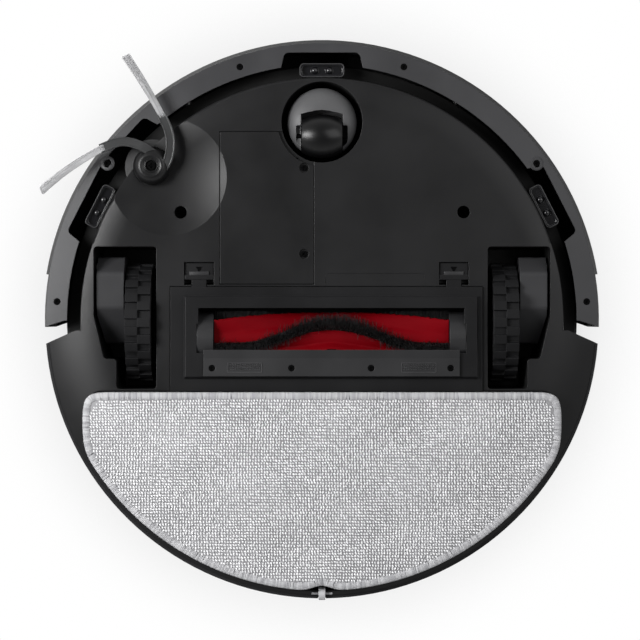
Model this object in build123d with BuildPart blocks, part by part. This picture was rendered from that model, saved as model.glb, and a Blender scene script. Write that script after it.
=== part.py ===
from build123d import *
import os
from math import cos, radians, sin, sqrt

# Robot vacuum with a mop pad, in millimetres.
# +Z is up, the floor is Z = 0, the bumper faces -Y and the mop pad is at +Y.
# The origin is the centre of the round body, on the floor.

# Clearances
SEAT = 0.1  # between fixed pieces that sit on each other
RUN = 0.06  # between a shaft and its bore
GAP = 0.4  # between pieces that move past each other
CUT = 1.0  # how far a cut runs past the face it opens

# Chassis shell
REAR_RADIUS = 170.5
REAR_CENTRE_Y = 1.5
PAN_INSET = 21.5
PAN_RADIUS = REAR_RADIUS - PAN_INSET
PAN_Z = 9.0
PAN_EDGE = 1.6
WALL = 2.5
TRENCH_CEILING = 28.0
DECK_Z = 72.0
DECK_TOP = 81.0
DECK_INSET = 6.5
DECK_RADIUS = REAR_RADIUS - DECK_INSET
UPPER_INSET = 6.5
UPPER_RADIUS = DECK_RADIUS - UPPER_INSET
DECK_LIP = 9.5
DECK_EDGE = 4.0
SKIRT_WALL = 1.9
SKIRT_Z = 10.0
RIM_TOP = 74.5
SHOULDER_INSET = 18.6
SHOULDER_X = REAR_RADIUS - SHOULDER_INSET
SHOULDER_Y = 6.9
SHOULDER_SLOPE = 0.449

# Bumper
BUMPER_OVERHANG = 2.9
BUMPER_RADIUS = REAR_RADIUS + BUMPER_OVERHANG
BUMPER_SIDE_STEP = 2.0
BUMPER_SIDE_RADIUS = BUMPER_RADIUS - BUMPER_SIDE_STEP
BUMPER_STEP_Y = -28.0
BUMPER_WALL = 3.5
BUMPER_PLATE = 2.5
BUMPER_TRAVEL = 3.5
BUMPER_END_INSET = 14.0
BUMPER_END_X = BUMPER_RADIUS - BUMPER_END_INSET
BUMPER_END_Y = 0.9
BUMPER_END_SLOPE = 0.327
RING_INSET = 2.7
RING_WIDTH = 13.2
RING_OUTER = BUMPER_RADIUS - RING_INSET
RING_INNER = RING_OUTER - RING_WIDTH
RING_Z = 14.0
RING_BEVEL = 7.0
LOBE_WIDTH = 9.0
LOBE_RADIUS = RING_INNER + LOBE_WIDTH
LOBE_FLARE = 1.6
LOBE_ROUND = 3.4
SENSOR_LOBE_HALF = 8.0
BRUSH_LOBE = (-53.2, -41.4)
RING_SCREW_INSET = 6.5
RING_SCREW_RADIUS = RING_INNER + RING_SCREW_INSET
RING_BOSS = 3.0
RING_SCREW_ANGLES = (-86.2, -54.0, -18.0, 18.0, 54.0, 86.2)
GUIDE_MARGIN = 2.0
GUIDE_Z = 50.0
GUIDE_RADIUS = 3.0
GUIDE_HEAD = 5.0
GUIDE_BLOCK = 12.0
SWITCH_X = 60.0
SWITCH = (12.0, 4.5, 9.0)
SWITCH_STROKE = 1.0
WINDOW_HALF_WIDTH = 34.0
WINDOW_Z = (38.0, 57.0)
WINDOW_THICKNESS = 2.0

# Small screws
SCREW_HEAD = 2.0
SCREW_HEAD_HEIGHT = 1.2
SCREW_SHANK = 1.1

# Cliff sensors
SENSOR_ANGLES = (-63.0, 0.0, 63.0)
SENSOR_WIDTH = 27.5
SENSOR_DEPTH = 8.5
SENSOR_OVERHANG = 4.8
SENSOR_RADIUS = PAN_RADIUS + SENSOR_OVERHANG
SENSOR_Z = 13.5
SENSOR_LENS = 2.4
SENSOR_LENS_STEP = 9.0

# Drive wheels
WHEEL_Y = 2.0
WHEEL_RADIUS = 37.0
TREAD_DEPTH = 2.2
TREAD_COUNT = 22
TREAD_BLOCK = 5.6
TYRE_WALL = 4.0
TYRE_GAP = 3.4
TYRE_WIDTH = 15.6
HUB_WEB = 3.0
HUB_INSET = 2.0
HUB_SPOKES = 6
SHAFT_RADIUS = 4.0
SHAFT_LENGTH = 12.0
WELL_INSET = (47.0, 8.4)
WELL_Y = (-44.8, 43.0)
WELL_STEP = 14.0
WELL_STEP_Y = 24.4
WELL_TAPER_Y = -2.0
WELL_TAPER = 0.24
WELL_CORNER = 2.2
WELL_WALL = 2.0
ARM_GAP = (1.3, 1.6)
PIVOT_Y = -33.0
PIVOT_Z = 30.0
PIVOT_RADIUS = 2.0
ARM_FRONT_Y = -38.5
ARM_REAR_Y = 15.3
ARM_LOW_Z = 11.5
ARM_TOP_Z = 52.0
ARM_NOSE = 8.0
ARM_RAKE = 10.0
ARM_TAIL = 9.0
ARM_ROUND = 4.0
SPRING_RADIUS = 3.6
SPRING_WIRE = 0.6
SPRING_TURNS = 7
SPRING_Y = -20.0
SPRING_LENGTH = 15.0
SPRING_SEAT = 12.0
SPRING_POST = 2.2
SPRING_POST_HEIGHT = 5.0

# Caster
CASTER_INSET = 27.5
CASTER_Y = CASTER_INSET - PAN_RADIUS
CASTER_SOCKET = 25.0
CASTER_DOME = 21.0
CASTER_DOME_Z = 27.5
CASTER_TRAIL = 8.5
CASTER_WHEEL_RADIUS = 13.5
CASTER_WHEEL_EDGE = 10.0
CASTER_WHEEL_WIDTH = 25.0
CASTER_AXLE = 1.5
CASTER_CHEEK = 3.2
CASTER_CHEEK_Y = (-6.0, 5.0)
CASTER_CHEEK_DROP = 4.0
CASTER_STEM = 4.0
CASTER_STEM_ROOT = 2.0
CASTER_ROOF_Z = 50.0

# Side brush
SIDE_HUB_INSET = 8.02
SIDE_HUB_ANGLE = -48.02
HUB_RADIUS = 11.5
HUB_Z = (3.5, 13.0)
HUB_EDGE = 2.0
HUB_SCREW_RECESS = 4.0
HUB_RECESS_TOP = 6.5
HUB_SHAFT = 2.5
HUB_BOSS = 17.0
DISH_SHIFT = (10.2, 6.7)
DISH_RADIUS = 36.0
DISH_DEPTH = 5.5
SIDE_ARM_WIDTH = 5.6
SIDE_ARM_Z = (3.7, 6.5)
SIDE_ARM_TURN = -90.0
SIDE_ARM_REACH = ((8.6, -2.3), (12.2, -13.0), (9.9, -25.3), (6.6, -32.8))
TUFT_REACH = (-15.6, -67.7)
TUFT_COLUMNS = 10
TUFT_ROWS = 4
TUFT_PITCH = 0.5
TUFT_FAN = 1.25
TUFT_STRAND = 0.28
TUFT_CLAMP = 4.0
TUFT_TIP_Z = 1.6
TUFT_UNEVEN = 0.03
TUFT_CLAMP_EDGE = 0.4
SIDE_SCREW_HEAD = 3.5
SIDE_SCREW_LOW = 4.5
SIDE_SCREW_TOP = 12.0
SIDE_SCREW_SLOT = (4.8, 0.8, 0.8)
SIDE_MOTOR_RADIUS = 13.0
SIDE_MOTOR_HEIGHT = 24.0

# Main brush
BRUSH_Y = 11.8
BRUSH_Z = 20.5
BRUSH_MARGIN = (9.6, 9.3)
BRUSH_CORE = 10.0
BRUSH_FIN_RADIUS = 16.4
BRUSH_FIN_WALL = 1.6
BRUSH_TIP_RADIUS = 17.5
BRUSH_TWIST = 66.0
BRUSH_APEX = -142.0
BRUSH_STRIPS = 3
BRUSH_FINS_BETWEEN = 2
STRIP_HALF_ANGLE = 9.0
STRIP_HEIGHT = 1.6
STRIP_STRANDS = 38
STRIP_STRAND = 0.5
STRIP_LEAN = 0.4
BRUSH_FIN_ROOT = 1.0
BRUSH_AXLE = 3.0
BRUSH_AXLE_END = 1.0
CHAMBER_RADIUS = 19.5
CHAMBER_MARGIN = 1.0
BEARING_RADIUS = 16.4
PULLEY_GAP = 5.0
PULLEY_WIDTH = 7.0
BRUSH_PULLEY = 6.5
MOTOR_PULLEY = 4.5
BELT_WALL = 1.2
BELT_WIDTH = 5.0
BRUSH_MOTOR_SETBACK = 1.0
BRUSH_MOTOR_LENGTH = 48.0
BRUSH_MOTOR_Z = 58.0
BRUSH_MOTOR_RADIUS = 13.0
MOTOR_SHAFT = 2.0
PULLEY_POCKET = 2.0
SADDLE_INSET = 6.0
SADDLE_WIDTH = 6.0
SADDLE_DEPTH = 20.0

# Brush cover
COVER_MARGIN = (8.8, 3.2)
COVER_Y = (-19.9, 44.2)
COVER_Z = 7.5
COVER_TOP = 11.9
RAISED_MARGIN = (8.4, 2.7)
RAISED_Y = (-14.3, 36.2)
RAISED_Z = 4.5
RAISED_CHAMFER = 1.0
MOUTH_MARGIN = (8.8, 8.6)
MOUTH_Y = (-6.9, 18.8)
COMB_MARGIN = (3.3, 3.1)
COMB_LIP_Y = (18.8, 23.9)
COMB_REAR_Y = 35.0
COMB_Z = 2.8
COMB_LIP_Z = 2.2
COMB_LIP = 1.0
COMB_SEAT_Z = 5.5
COMB_SCREWS = 4
COMB_SCREW_MARGIN = (5.2, 5.5)
COMB_SCREW_Y = 30.0
TRAY_Z = 14.5
TRAY_WALL = 2.3
LATCH_MARGIN = (17.45, 17.6)
LATCH_WIDTH = 17.5
LATCH_Y = (-34.6, -24.4)
LATCH_BAR_Y = (-27.3, -24.4)
LATCH_POCKET_Y = (-35.2, -21.2)
LATCH_TONGUE = 9.0
LATCH_TONGUE_END_Y = -17.0
LATCH_TRAVEL = 2.5
LATCH_DEPTH = 6.0
LATCH_PLATE_Z = (10.5, 12.5)

# Battery
BATTERY_COVER_INSET = (86.2, 33.6)
BATTERY_COVER_END = (-5.2, -21.8)
BATTERY_COVER_THICKNESS = 1.8
BATTERY_LEDGE_Z = 14.0
BATTERY_MARGIN_X = (4.8, 10.8)
BATTERY_MARGIN_Y = (17.4, 4.2)
BATTERY_TOP = 50.0
BATTERY_LEDGE = 1.5
BATTERY_ROUND = 4.0
BATTERY_SCREW_INSET = 5.9
BATTERY_SCREW_MARGIN = (22.2, 18.4)
BATTERY_SCREW_RECESS = 3.0

# Deep case screws
CASE_SCREW_INSET = (61.8, 83.0)
CASE_SCREW_HOLE = 3.9
CASE_SCREW_BOSS = 6.5
CASE_SCREW_DEPTH_Z = 26.0
CASE_SCREW_TOP = 40.0
CASE_SCREW_SHANK = 1.5
CASE_SCREW_HEAD = 2.4
SCREW_TIP = 2.0

# Mop
MOP_FRONT_Y = 44.8
MOP_SIDE_INSET = 25.3
MOP_HALF_WIDTH = REAR_RADIUS - MOP_SIDE_INSET
MOP_REAR_INSET = 4.0
MOP_RADIUS = REAR_RADIUS - MOP_REAR_INSET
MOP_CORNER = 10.0
MOP_PAD = 4.0
MOP_PAD_EDGE = 1.2
MOP_DIP = 2.5
MOP_DIP_HALF = 15.0
MOP_PLATE = 2.5
MOP_PLATE_INSET = 2.0
MOP_LIFT = 4.5
MOP_BAY_GAP = 0.8
STEM_INSET = 37.2
STEM_X = MOP_HALF_WIDTH - STEM_INSET
STEM_Y = 75.0
STEM_RADIUS = 4.0
STEM_TOP = 30.0
STEM_BUSH = 7.5
STEM_BUSH_TOP = 24.0
STEM_COLLAR = 6.5
STEM_COLLAR_HEIGHT = 1.5
LIFT_MOTOR = (20.0, 24.0, 20.0)
LIFT_MOTOR_Y = 98.0
ROLLER_INSET = 1.7
ROLLER_Y = REAR_RADIUS - ROLLER_INSET
ROLLER_Z = 9.4
ROLLER_RADIUS = 4.1
ROLLER_WIDTH = 4.2
ROLLER_EDGE = 0.4
ROLLER_PIN = 0.8
ROLLER_PIN_HALF = 6.4

# Dust box
TANK_SIDE_GAP = (18.0, 62.0)
TANK_X = (TANK_SIDE_GAP[0] - STEM_X, STEM_X - TANK_SIDE_GAP[1])
TANK_FRONT_Y = 62.0
TANK_WIDE_X = 96.5
TANK_WIDE_DEPTH = 36.5
TANK_WIDE_Y = REAR_RADIUS - TANK_WIDE_DEPTH
TANK_Z = (24.5, 60.0)
TANK_WALL = 2.0
TANK_PANEL_MARGIN = 3.5
TANK_PANEL_X = TANK_WIDE_X + TANK_PANEL_MARGIN
TANK_PANEL_Z = (24.2, 61.8)
TANK_INSIDE_REACH = 8.0
TANK_INSIDE_Y = TANK_WIDE_Y + TANK_INSIDE_REACH
TANK_RAIL_INSET = (2.0, 10.0)
TANK_BUTTON = 8.0
TANK_BUTTON_Z = 44.0
TANK_BUTTON_DEPTH = 7.0
TANK_BUTTON_GAP = 2.0
TANK_BUTTON_EDGE = 0.8
FILTER_INSET = (48.0, 20.0)
FILTER_Y = tuple(TANK_WIDE_Y - reach for reach in FILTER_INSET)
FILTER_Z = (30.0, 54.0)
DUCT_X = (-20.0, 30.0)
DUCT_Z = (25.5, 39.0)
DUCT_JOINT_Y = 36.0
DUCT_WALL = 1.6
DUCT_FOOT = 8.0
FAN_GAP = 4.0
FAN_WIDTH = 32.0
FAN_X = (TANK_X[1] + FAN_GAP, TANK_X[1] + FAN_GAP + FAN_WIDTH)
FAN_INSET = 34.0
FAN_Y = TANK_WIDE_Y - FAN_INSET
FAN_Z = 37.0
FAN_RADIUS = 21.0
FAN_INLET = 10.0
FAN_ROTOR = 15.0
FAN_ROTOR_REACH = (6.0, 20.0)
FAN_ROTOR_X = tuple(FAN_X[0] + reach for reach in FAN_ROTOR_REACH)
FAN_DISC = 2.0
FAN_BLADES = 9
FAN_BLADE = (10.5, 1.2)
FAN_BLADE_RADIUS = 9.3
FAN_BLADE_TILT = 30.0
FAN_OUTLET = 5.0
FAN_OUTLET_Z = 45.0
FAN_BEARING = 3.0
FAN_SHAFT = 2.5
FAN_FOOT_MARGIN = 4.0
FAN_FOOT_X = (FAN_X[0] + FAN_FOOT_MARGIN, FAN_X[1] - FAN_FOOT_MARGIN)
FAN_FOOT = 20.0
CONTACT_X = 42.0
CONTACT_WIDTH = 18.0
CONTACT_Z = (13.0, 21.0)

# Laser turret
TURRET_Y = 38.0
TURRET_RADIUS = 46.0
TURRET_HEIGHT = 18.0
TURRET_TOP = DECK_TOP + TURRET_HEIGHT
TURRET_RING = 6.0
TURRET_RING_HEIGHT = 3.0
TURRET_LID = 4.0
TURRET_EDGE = 2.5
TURRET_POST = (4.0, 12.0)
TURRET_POSTS = 5
ROTOR_RADIUS = 36.0
ROTOR_HEIGHT = 9.0
ROTOR_EDGE = 2.0
ROTOR_WINDOW = 7.2
ROTOR_SILL = 2.0
ROTOR_SHAFT = 8.0
ROTOR_PULLEY = 15.0
ROTOR_PULLEY_Z = (74.4, 78.0)
LIDAR_MOTOR_X = -40.0
LIDAR_MOTOR_RADIUS = 9.0
LIDAR_MOTOR_Z = (57.0, 73.4)
LIDAR_PULLEY = 5.0
LIDAR_SHAFT = 1.0
POCKET_WALL = 2.0

# Electronics and buttons
BOARD_X = (-70.0, 75.0)
BOARD_Y = (-100.0, -20.0)
BOARD_Z = 62.0
BOARD_THICKNESS = 1.6
BOARD_POST = 3.0
BOARD_INSET = 5.0
BOARD_CHIPS = (((-20.0, 5.0), (-75.0, -50.0), 3.0), ((30.0, 60.0), (-45.0, -30.0), 4.0))
BUTTON_INSET = 46.0
BUTTON_Y = BUTTON_INSET - DECK_RADIUS
BUTTON_X = 13.0
BUTTON_RADIUS = 8.5
BUTTON_FLANGE = 2.0
BUTTON_PROUD = 0.7
BUTTON_HEIGHT = 4.4
BUTTON_EDGE = 0.8

def inset(limits, margin):
    """Limits drawn in by a margin at each end."""
    return (limits[0] + margin[0], limits[1] - margin[1])


# Derived places
WELL_X = tuple(PAN_RADIUS - reach for reach in WELL_INSET)
WELL_STEP_X = WELL_X[1] - WELL_STEP
WELL_REAR_X = WELL_X[1] - WELL_TAPER * (WELL_STEP_Y - WELL_TAPER_Y)
WELL_PLAN = ((WELL_X[0], WELL_Y[0]), (WELL_X[1], WELL_Y[0]), (WELL_X[1], WELL_TAPER_Y),
             (WELL_REAR_X, WELL_STEP_Y), (WELL_STEP_X, WELL_STEP_Y), (WELL_STEP_X, WELL_Y[1]),
             (WELL_X[0], WELL_Y[1]))
TYRE_X = (WELL_X[0] + TYRE_GAP, WELL_X[0] + TYRE_GAP + TYRE_WIDTH)
ARM_X = inset((TYRE_X[1], WELL_X[1]), ARM_GAP)
ARM_REAR_X = ARM_X[1] - WELL_TAPER * (ARM_REAR_Y - WELL_TAPER_Y)
ARM_PLAN = ((ARM_X[0], ARM_FRONT_Y), (ARM_X[1], ARM_FRONT_Y), (ARM_X[1], WELL_TAPER_Y),
            (ARM_REAR_X, ARM_REAR_Y), (ARM_X[0], ARM_REAR_Y))
HUB_X = (PAN_RADIUS - SIDE_HUB_INSET) * sin(radians(SIDE_HUB_ANGLE))
HUB_Y = (SIDE_HUB_INSET - PAN_RADIUS) * cos(radians(SIDE_HUB_ANGLE))
GUIDE_X = abs(HUB_X) - SIDE_MOTOR_RADIUS - GUIDE_HEAD - GUIDE_MARGIN
DISH_X = HUB_X + DISH_SHIFT[0]
DISH_Y = HUB_Y + DISH_SHIFT[1]
SIDE_ARM_ROUTE = tuple((HUB_X + x, HUB_Y + y) for x, y in SIDE_ARM_REACH)
TUFT_TIP = (HUB_X + TUFT_REACH[0], HUB_Y + TUFT_REACH[1])
COVER_X = inset((-WELL_X[0], WELL_X[0]), COVER_MARGIN)
RAISED_X = inset(COVER_X, RAISED_MARGIN)
MOUTH_X = inset(RAISED_X, MOUTH_MARGIN)
COMB_X = inset(MOUTH_X, COMB_MARGIN)
COMB_ROW_X = inset(COMB_X, COMB_SCREW_MARGIN)
COMB_SCREW_STEP = (COMB_ROW_X[1] - COMB_ROW_X[0]) / (COMB_SCREWS - 1)
COMB_SCREWS_X = tuple(COMB_ROW_X[0] + step * COMB_SCREW_STEP for step in range(COMB_SCREWS))
LATCH_CENTRES_X = inset(COVER_X, LATCH_MARGIN)
BRUSH_X = inset(MOUTH_X, BRUSH_MARGIN)
CHAMBER_X = (MOUTH_X[0] - CHAMBER_MARGIN, MOUTH_X[1] + CHAMBER_MARGIN)
PULLEY_X = (CHAMBER_X[0] - PULLEY_GAP - PULLEY_WIDTH, CHAMBER_X[0] - PULLEY_GAP)
BRUSH_AXLE_X = (PULLEY_X[0] - BRUSH_AXLE_END, MOUTH_X[1] - BRUSH_AXLE_END)
BRUSH_MOTOR_X = (CHAMBER_X[0] - BRUSH_MOTOR_SETBACK, CHAMBER_X[0] - BRUSH_MOTOR_SETBACK + BRUSH_MOTOR_LENGTH)
BATTERY_COVER_X = (BATTERY_COVER_INSET[0] - PAN_RADIUS, BATTERY_COVER_END[0])
BATTERY_COVER_Y = (BATTERY_COVER_INSET[1] - PAN_RADIUS, BATTERY_COVER_END[1])
BATTERY_X = inset(BATTERY_COVER_X, BATTERY_MARGIN_X)
BATTERY_Y = inset(BATTERY_COVER_Y, BATTERY_MARGIN_Y)
BATTERY_SCREW_X = BATTERY_COVER_X[1] - BATTERY_SCREW_INSET
BATTERY_SCREWS_Y = inset(BATTERY_COVER_Y, BATTERY_SCREW_MARGIN)
CASE_SCREW_X = PAN_RADIUS - CASE_SCREW_INSET[0]
CASE_SCREW_Y = CASE_SCREW_INSET[1] - PAN_RADIUS
TANK_RAIL_X = (tuple(TANK_X[0] + reach for reach in TANK_RAIL_INSET),
               tuple(TANK_X[1] - reach for reach in reversed(TANK_RAIL_INSET)))
RIM_Z = DECK_Z - SEAT
DECK_PLATE_Z = DECK_TOP - WALL
CHASSIS_REAR = REAR_RADIUS - SKIRT_WALL - SEAT
BAY_CEILING = MOP_PAD + SEAT + MOP_PLATE + MOP_LIFT + GAP
BAY_TOP = BAY_CEILING + WALL
WHEEL_Z = WHEEL_RADIUS
CASTER_AXLE_Y = CASTER_Y + CASTER_TRAIL
CASTER_AXLE_Z = CASTER_WHEEL_RADIUS
BRUSH_MIDDLE = (BRUSH_X[0] + BRUSH_X[1]) / 2
BRUSH_HALF = (BRUSH_X[1] - BRUSH_X[0]) / 2
BRUSH_STEP = 360 / BRUSH_STRIPS
DISH_SPHERE = (DISH_RADIUS**2 + DISH_DEPTH**2) / (2 * DISH_DEPTH)
BATTERY_PLATE_Z = PAN_Z + BATTERY_COVER_THICKNESS
PIN_END_X = WELL_X[1] + WALL
SPRING_TOP = ARM_TOP_Z + SPRING_LENGTH + 2 * (SPRING_WIRE + SEAT)
GUIDE_BLOCK_FRONT = -sqrt((BUMPER_RADIUS - 1)**2 - (GUIDE_X + GUIDE_BLOCK / 2)**2)
GUIDE_BLOCK_REAR = -sqrt(UPPER_RADIUS**2 - (GUIDE_X - GUIDE_BLOCK / 2)**2) - BUMPER_TRAVEL - 2 * GAP
SIDES = (("left", -1), ("right", 1))

os.makedirs("parts", exist_ok=True)


def write(piece, name):
    """Labels a finished piece and writes it as its own file."""
    piece.part.label = name
    export_step(piece.part, f"parts/{name}.step")


def block(xs, ys, zs, mode=Mode.ADD):
    """A box between two limits on each axis."""
    size = [abs(high - low) for low, high in (xs, ys, zs)]
    with Locations([(sum(xs) / 2, sum(ys) / 2, sum(zs) / 2)]):
        Box(*size, mode=mode)


def post(x, y, radius, zs, mode=Mode.ADD):
    """An upright cylinder between two heights."""
    with Locations((x, y, min(zs))):
        Cylinder(radius, abs(zs[1] - zs[0]), align=(Align.CENTER, Align.CENTER, Align.MIN), mode=mode)


def bar(xs, y, z, radius, mode=Mode.ADD):
    """A cylinder lying along X."""
    with Locations(Location((sum(xs) / 2, y, z), (0, 90, 0))):
        Cylinder(radius, abs(xs[1] - xs[0]), mode=mode)


def rod(x, ys, z, radius, mode=Mode.ADD):
    """A cylinder lying along Y."""
    with Locations(Location((x, sum(ys) / 2, z), (90, 0, 0))):
        Cylinder(radius, abs(ys[1] - ys[0]), mode=mode)


def polar(radius, angle):
    """A point on the plan, its angle counted from the front towards the right."""
    return (radius * sin(radians(angle)), -radius * cos(radians(angle)))


def span(side, limits):
    """Limits measured outwards from the middle, on the left or right side."""
    return tuple(sorted(side * limit for limit in limits))


def rear_plan(radius, inset=0.0):
    """Plan of the body behind the two slanted shoulders."""
    reach = 2 * REAR_RADIUS
    edge_y = SHOULDER_Y + inset * sqrt(1 + SHOULDER_SLOPE**2)
    far_y = edge_y + SHOULDER_SLOPE * (reach - SHOULDER_X)
    with BuildSketch(mode=Mode.PRIVATE) as plan:
        with Locations((0, REAR_CENTRE_Y)):
            Circle(radius - inset)
        with BuildLine():
            Polyline((-reach, far_y), (-SHOULDER_X, edge_y), (SHOULDER_X, edge_y), (reach, far_y),
                     (reach, reach), (-reach, reach), close=True)
        make_face(mode=Mode.INTERSECT)
    return plan.sketch


def mop_plan(grow):
    """Plan of the mop pad, grown or shrunk all round."""
    with BuildSketch(mode=Mode.PRIVATE) as plan:
        Circle(MOP_RADIUS + grow)
        with Locations((0, MOP_FRONT_Y - grow)):
            Rectangle(2 * (MOP_HALF_WIDTH + grow), 2 * MOP_RADIUS,
                      align=(Align.CENTER, Align.MIN), mode=Mode.INTERSECT)
        fillet(plan.vertices().group_by(Axis.Y)[0], MOP_CORNER + grow)
    return plan.sketch


def belt_plan(radius_a, radius_b, distance, wall=0.0):
    """Outline of a belt round two pulleys, the second one along the local Y axis."""
    with BuildSketch(mode=Mode.PRIVATE) as plan:
        with BuildLine():
            CenterArc((0, 0), radius_a + wall, 0, 360)
            CenterArc((0, distance), radius_b + wall, 0, 360)
        make_hull()
    return plan.sketch


def strand(root, tip, width):
    """One square bristle from its root to its tip."""
    run = Vector(*tip) - Vector(*root)
    face = Face.make_rect(width, width, Plane(root, z_dir=run))
    return Solid.extrude(face, run)


def small_screw(x, y, z, length):
    """A screw whose head faces down."""
    post(x, y, SCREW_HEAD, (z, z + SCREW_HEAD_HEIGHT))
    post(x, y, SCREW_SHANK, (z + SCREW_HEAD_HEIGHT, z + length))


# Chassis: bottom pan, stepped wall, wells, brush chamber, sockets and bosses
with BuildPart() as chassis:
    post(0, 0, PAN_RADIUS, (PAN_Z, TRENCH_CEILING))
    fillet(chassis.edges().group_by(Axis.Z)[0], PAN_EDGE)
    post(0, 0, UPPER_RADIUS, (TRENCH_CEILING, RIM_Z))
    with BuildSketch(Plane.XY.offset(PAN_Z)):
        add(rear_plan(CHASSIS_REAR))
    extrude(amount=RIM_Z - PAN_Z)
    # Hollow of the stepped shell
    with BuildSketch(Plane.XY.offset(PAN_Z + WALL)):
        Circle(PAN_RADIUS - WALL)
        add(rear_plan(CHASSIS_REAR, WALL))
    extrude(amount=TRENCH_CEILING - PAN_Z, mode=Mode.SUBTRACT)
    with BuildSketch(Plane.XY.offset(TRENCH_CEILING + WALL)):
        Circle(UPPER_RADIUS - WALL)
        add(rear_plan(CHASSIS_REAR, WALL))
    extrude(amount=RIM_Z - TRENCH_CEILING, mode=Mode.SUBTRACT)
    # Brush tray, chamber and the spigot of the suction duct
    tray_x = (COVER_X[0] - TRAY_WALL, COVER_X[1] + TRAY_WALL)
    tray_y = (COVER_Y[0] - TRAY_WALL, COVER_Y[1] + TRAY_WALL)
    block(tray_x, tray_y, (PAN_Z, TRAY_Z))
    chamber_shell_x = (CHAMBER_X[0] - WALL, CHAMBER_X[1] + WALL)
    bar(chamber_shell_x, BRUSH_Y, BRUSH_Z, CHAMBER_RADIUS + WALL)
    block(DUCT_X, (BRUSH_Y, DUCT_JOINT_Y), DUCT_Z)
    # Saddles that carry the brush motor
    saddle_y = (BRUSH_Y - SADDLE_DEPTH / 2, BRUSH_Y + SADDLE_DEPTH / 2)
    for saddle_x in (BRUSH_MOTOR_X[0] + SADDLE_INSET, BRUSH_MOTOR_X[1] - SADDLE_INSET):
        block((saddle_x - SADDLE_WIDTH / 2, saddle_x + SADDLE_WIDTH / 2), saddle_y,
              (BRUSH_Z + CHAMBER_RADIUS, BRUSH_MOTOR_Z))
    bar(BRUSH_MOTOR_X, BRUSH_Y, BRUSH_MOTOR_Z, BRUSH_MOTOR_RADIUS + SEAT, mode=Mode.SUBTRACT)
    # Walls of the wheel wells
    for name, side in SIDES:
        with BuildSketch(Plane.XY.offset(PAN_Z)):
            well_x = span(side, (WELL_X[0] - WELL_WALL, PAN_RADIUS))
            well_y = (WELL_Y[0] - WELL_WALL, WELL_Y[1] + WELL_WALL)
            with Locations((sum(well_x) / 2, sum(well_y) / 2)):
                Rectangle(well_x[1] - well_x[0], well_y[1] - well_y[0])
            Circle(PAN_RADIUS - GAP, mode=Mode.INTERSECT)
        extrude(amount=RIM_Z - PAN_Z)
    # Caster cup, battery ledge, dish pad, motor boss and screw bosses
    post(0, CASTER_Y, CASTER_SOCKET + WELL_WALL, (PAN_Z, CASTER_ROOF_Z + WALL))
    ledge_x = (BATTERY_COVER_X[0] - WELL_WALL, BATTERY_COVER_X[1] + WELL_WALL)
    ledge_y = (BATTERY_COVER_Y[0] - WELL_WALL, BATTERY_COVER_Y[1])
    block(ledge_x, ledge_y, (PAN_Z, BATTERY_LEDGE_Z))
    with BuildSketch(Plane.XY.offset(PAN_Z + WALL)):
        with Locations((DISH_X, DISH_Y)):
            Circle(DISH_RADIUS + WELL_WALL)
        Circle(PAN_RADIUS - WELL_WALL, mode=Mode.INTERSECT)
    extrude(amount=DISH_DEPTH)
    post(HUB_X, HUB_Y, HUB_BOSS, (PAN_Z + DISH_DEPTH + SEAT, TRENCH_CEILING + WALL))
    for name, side in SIDES:
        post(side * CASE_SCREW_X, CASE_SCREW_Y, CASE_SCREW_BOSS, (PAN_Z + WALL, CASE_SCREW_TOP))
    # Mop bay ceiling, lift bushes and drawer rails
    with BuildSketch(Plane.XY.offset(PAN_Z)):
        add(mop_plan(MOP_BAY_GAP + WALL))
        add(rear_plan(CHASSIS_REAR), mode=Mode.INTERSECT)
    extrude(amount=BAY_TOP - PAN_Z)
    for name, side in SIDES:
        post(side * STEM_X, STEM_Y, STEM_BUSH, (BAY_CEILING, STEM_BUSH_TOP))
    for rail_x in TANK_RAIL_X:
        block(rail_x, (TANK_FRONT_Y, TANK_WIDE_Y), (BAY_CEILING, TANK_Z[0] - GAP))
    # Latch pockets
    for latch_x in LATCH_CENTRES_X:
        pocket_half = LATCH_WIDTH / 2 + GAP
        block((latch_x - pocket_half - WELL_WALL, latch_x + pocket_half + WELL_WALL),
              (LATCH_POCKET_Y[0] - WELL_WALL, tray_y[0]), (PAN_Z, PAN_Z + LATCH_DEPTH + WELL_WALL))

    # Cuts: wheel wells with their stepped outer corner
    for name, side in SIDES:
        with BuildSketch(Plane.XY) as well:
            with BuildLine():
                Polyline(*[(side * x, y) for x, y in WELL_PLAN], close=True)
            make_face()
            fillet(well.vertices(), WELL_CORNER)
        extrude(amount=DECK_Z, mode=Mode.SUBTRACT)
        bar(span(side, (ARM_X[1], PIN_END_X + SEAT)), PIVOT_Y, PIVOT_Z, PIVOT_RADIUS + RUN, mode=Mode.SUBTRACT)
        block(span(side, (ARM_X[0], PIN_END_X)), (SPRING_Y - SPRING_SEAT / 2, SPRING_Y + SPRING_SEAT / 2),
              (SPRING_TOP + SEAT, RIM_Z))
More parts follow.
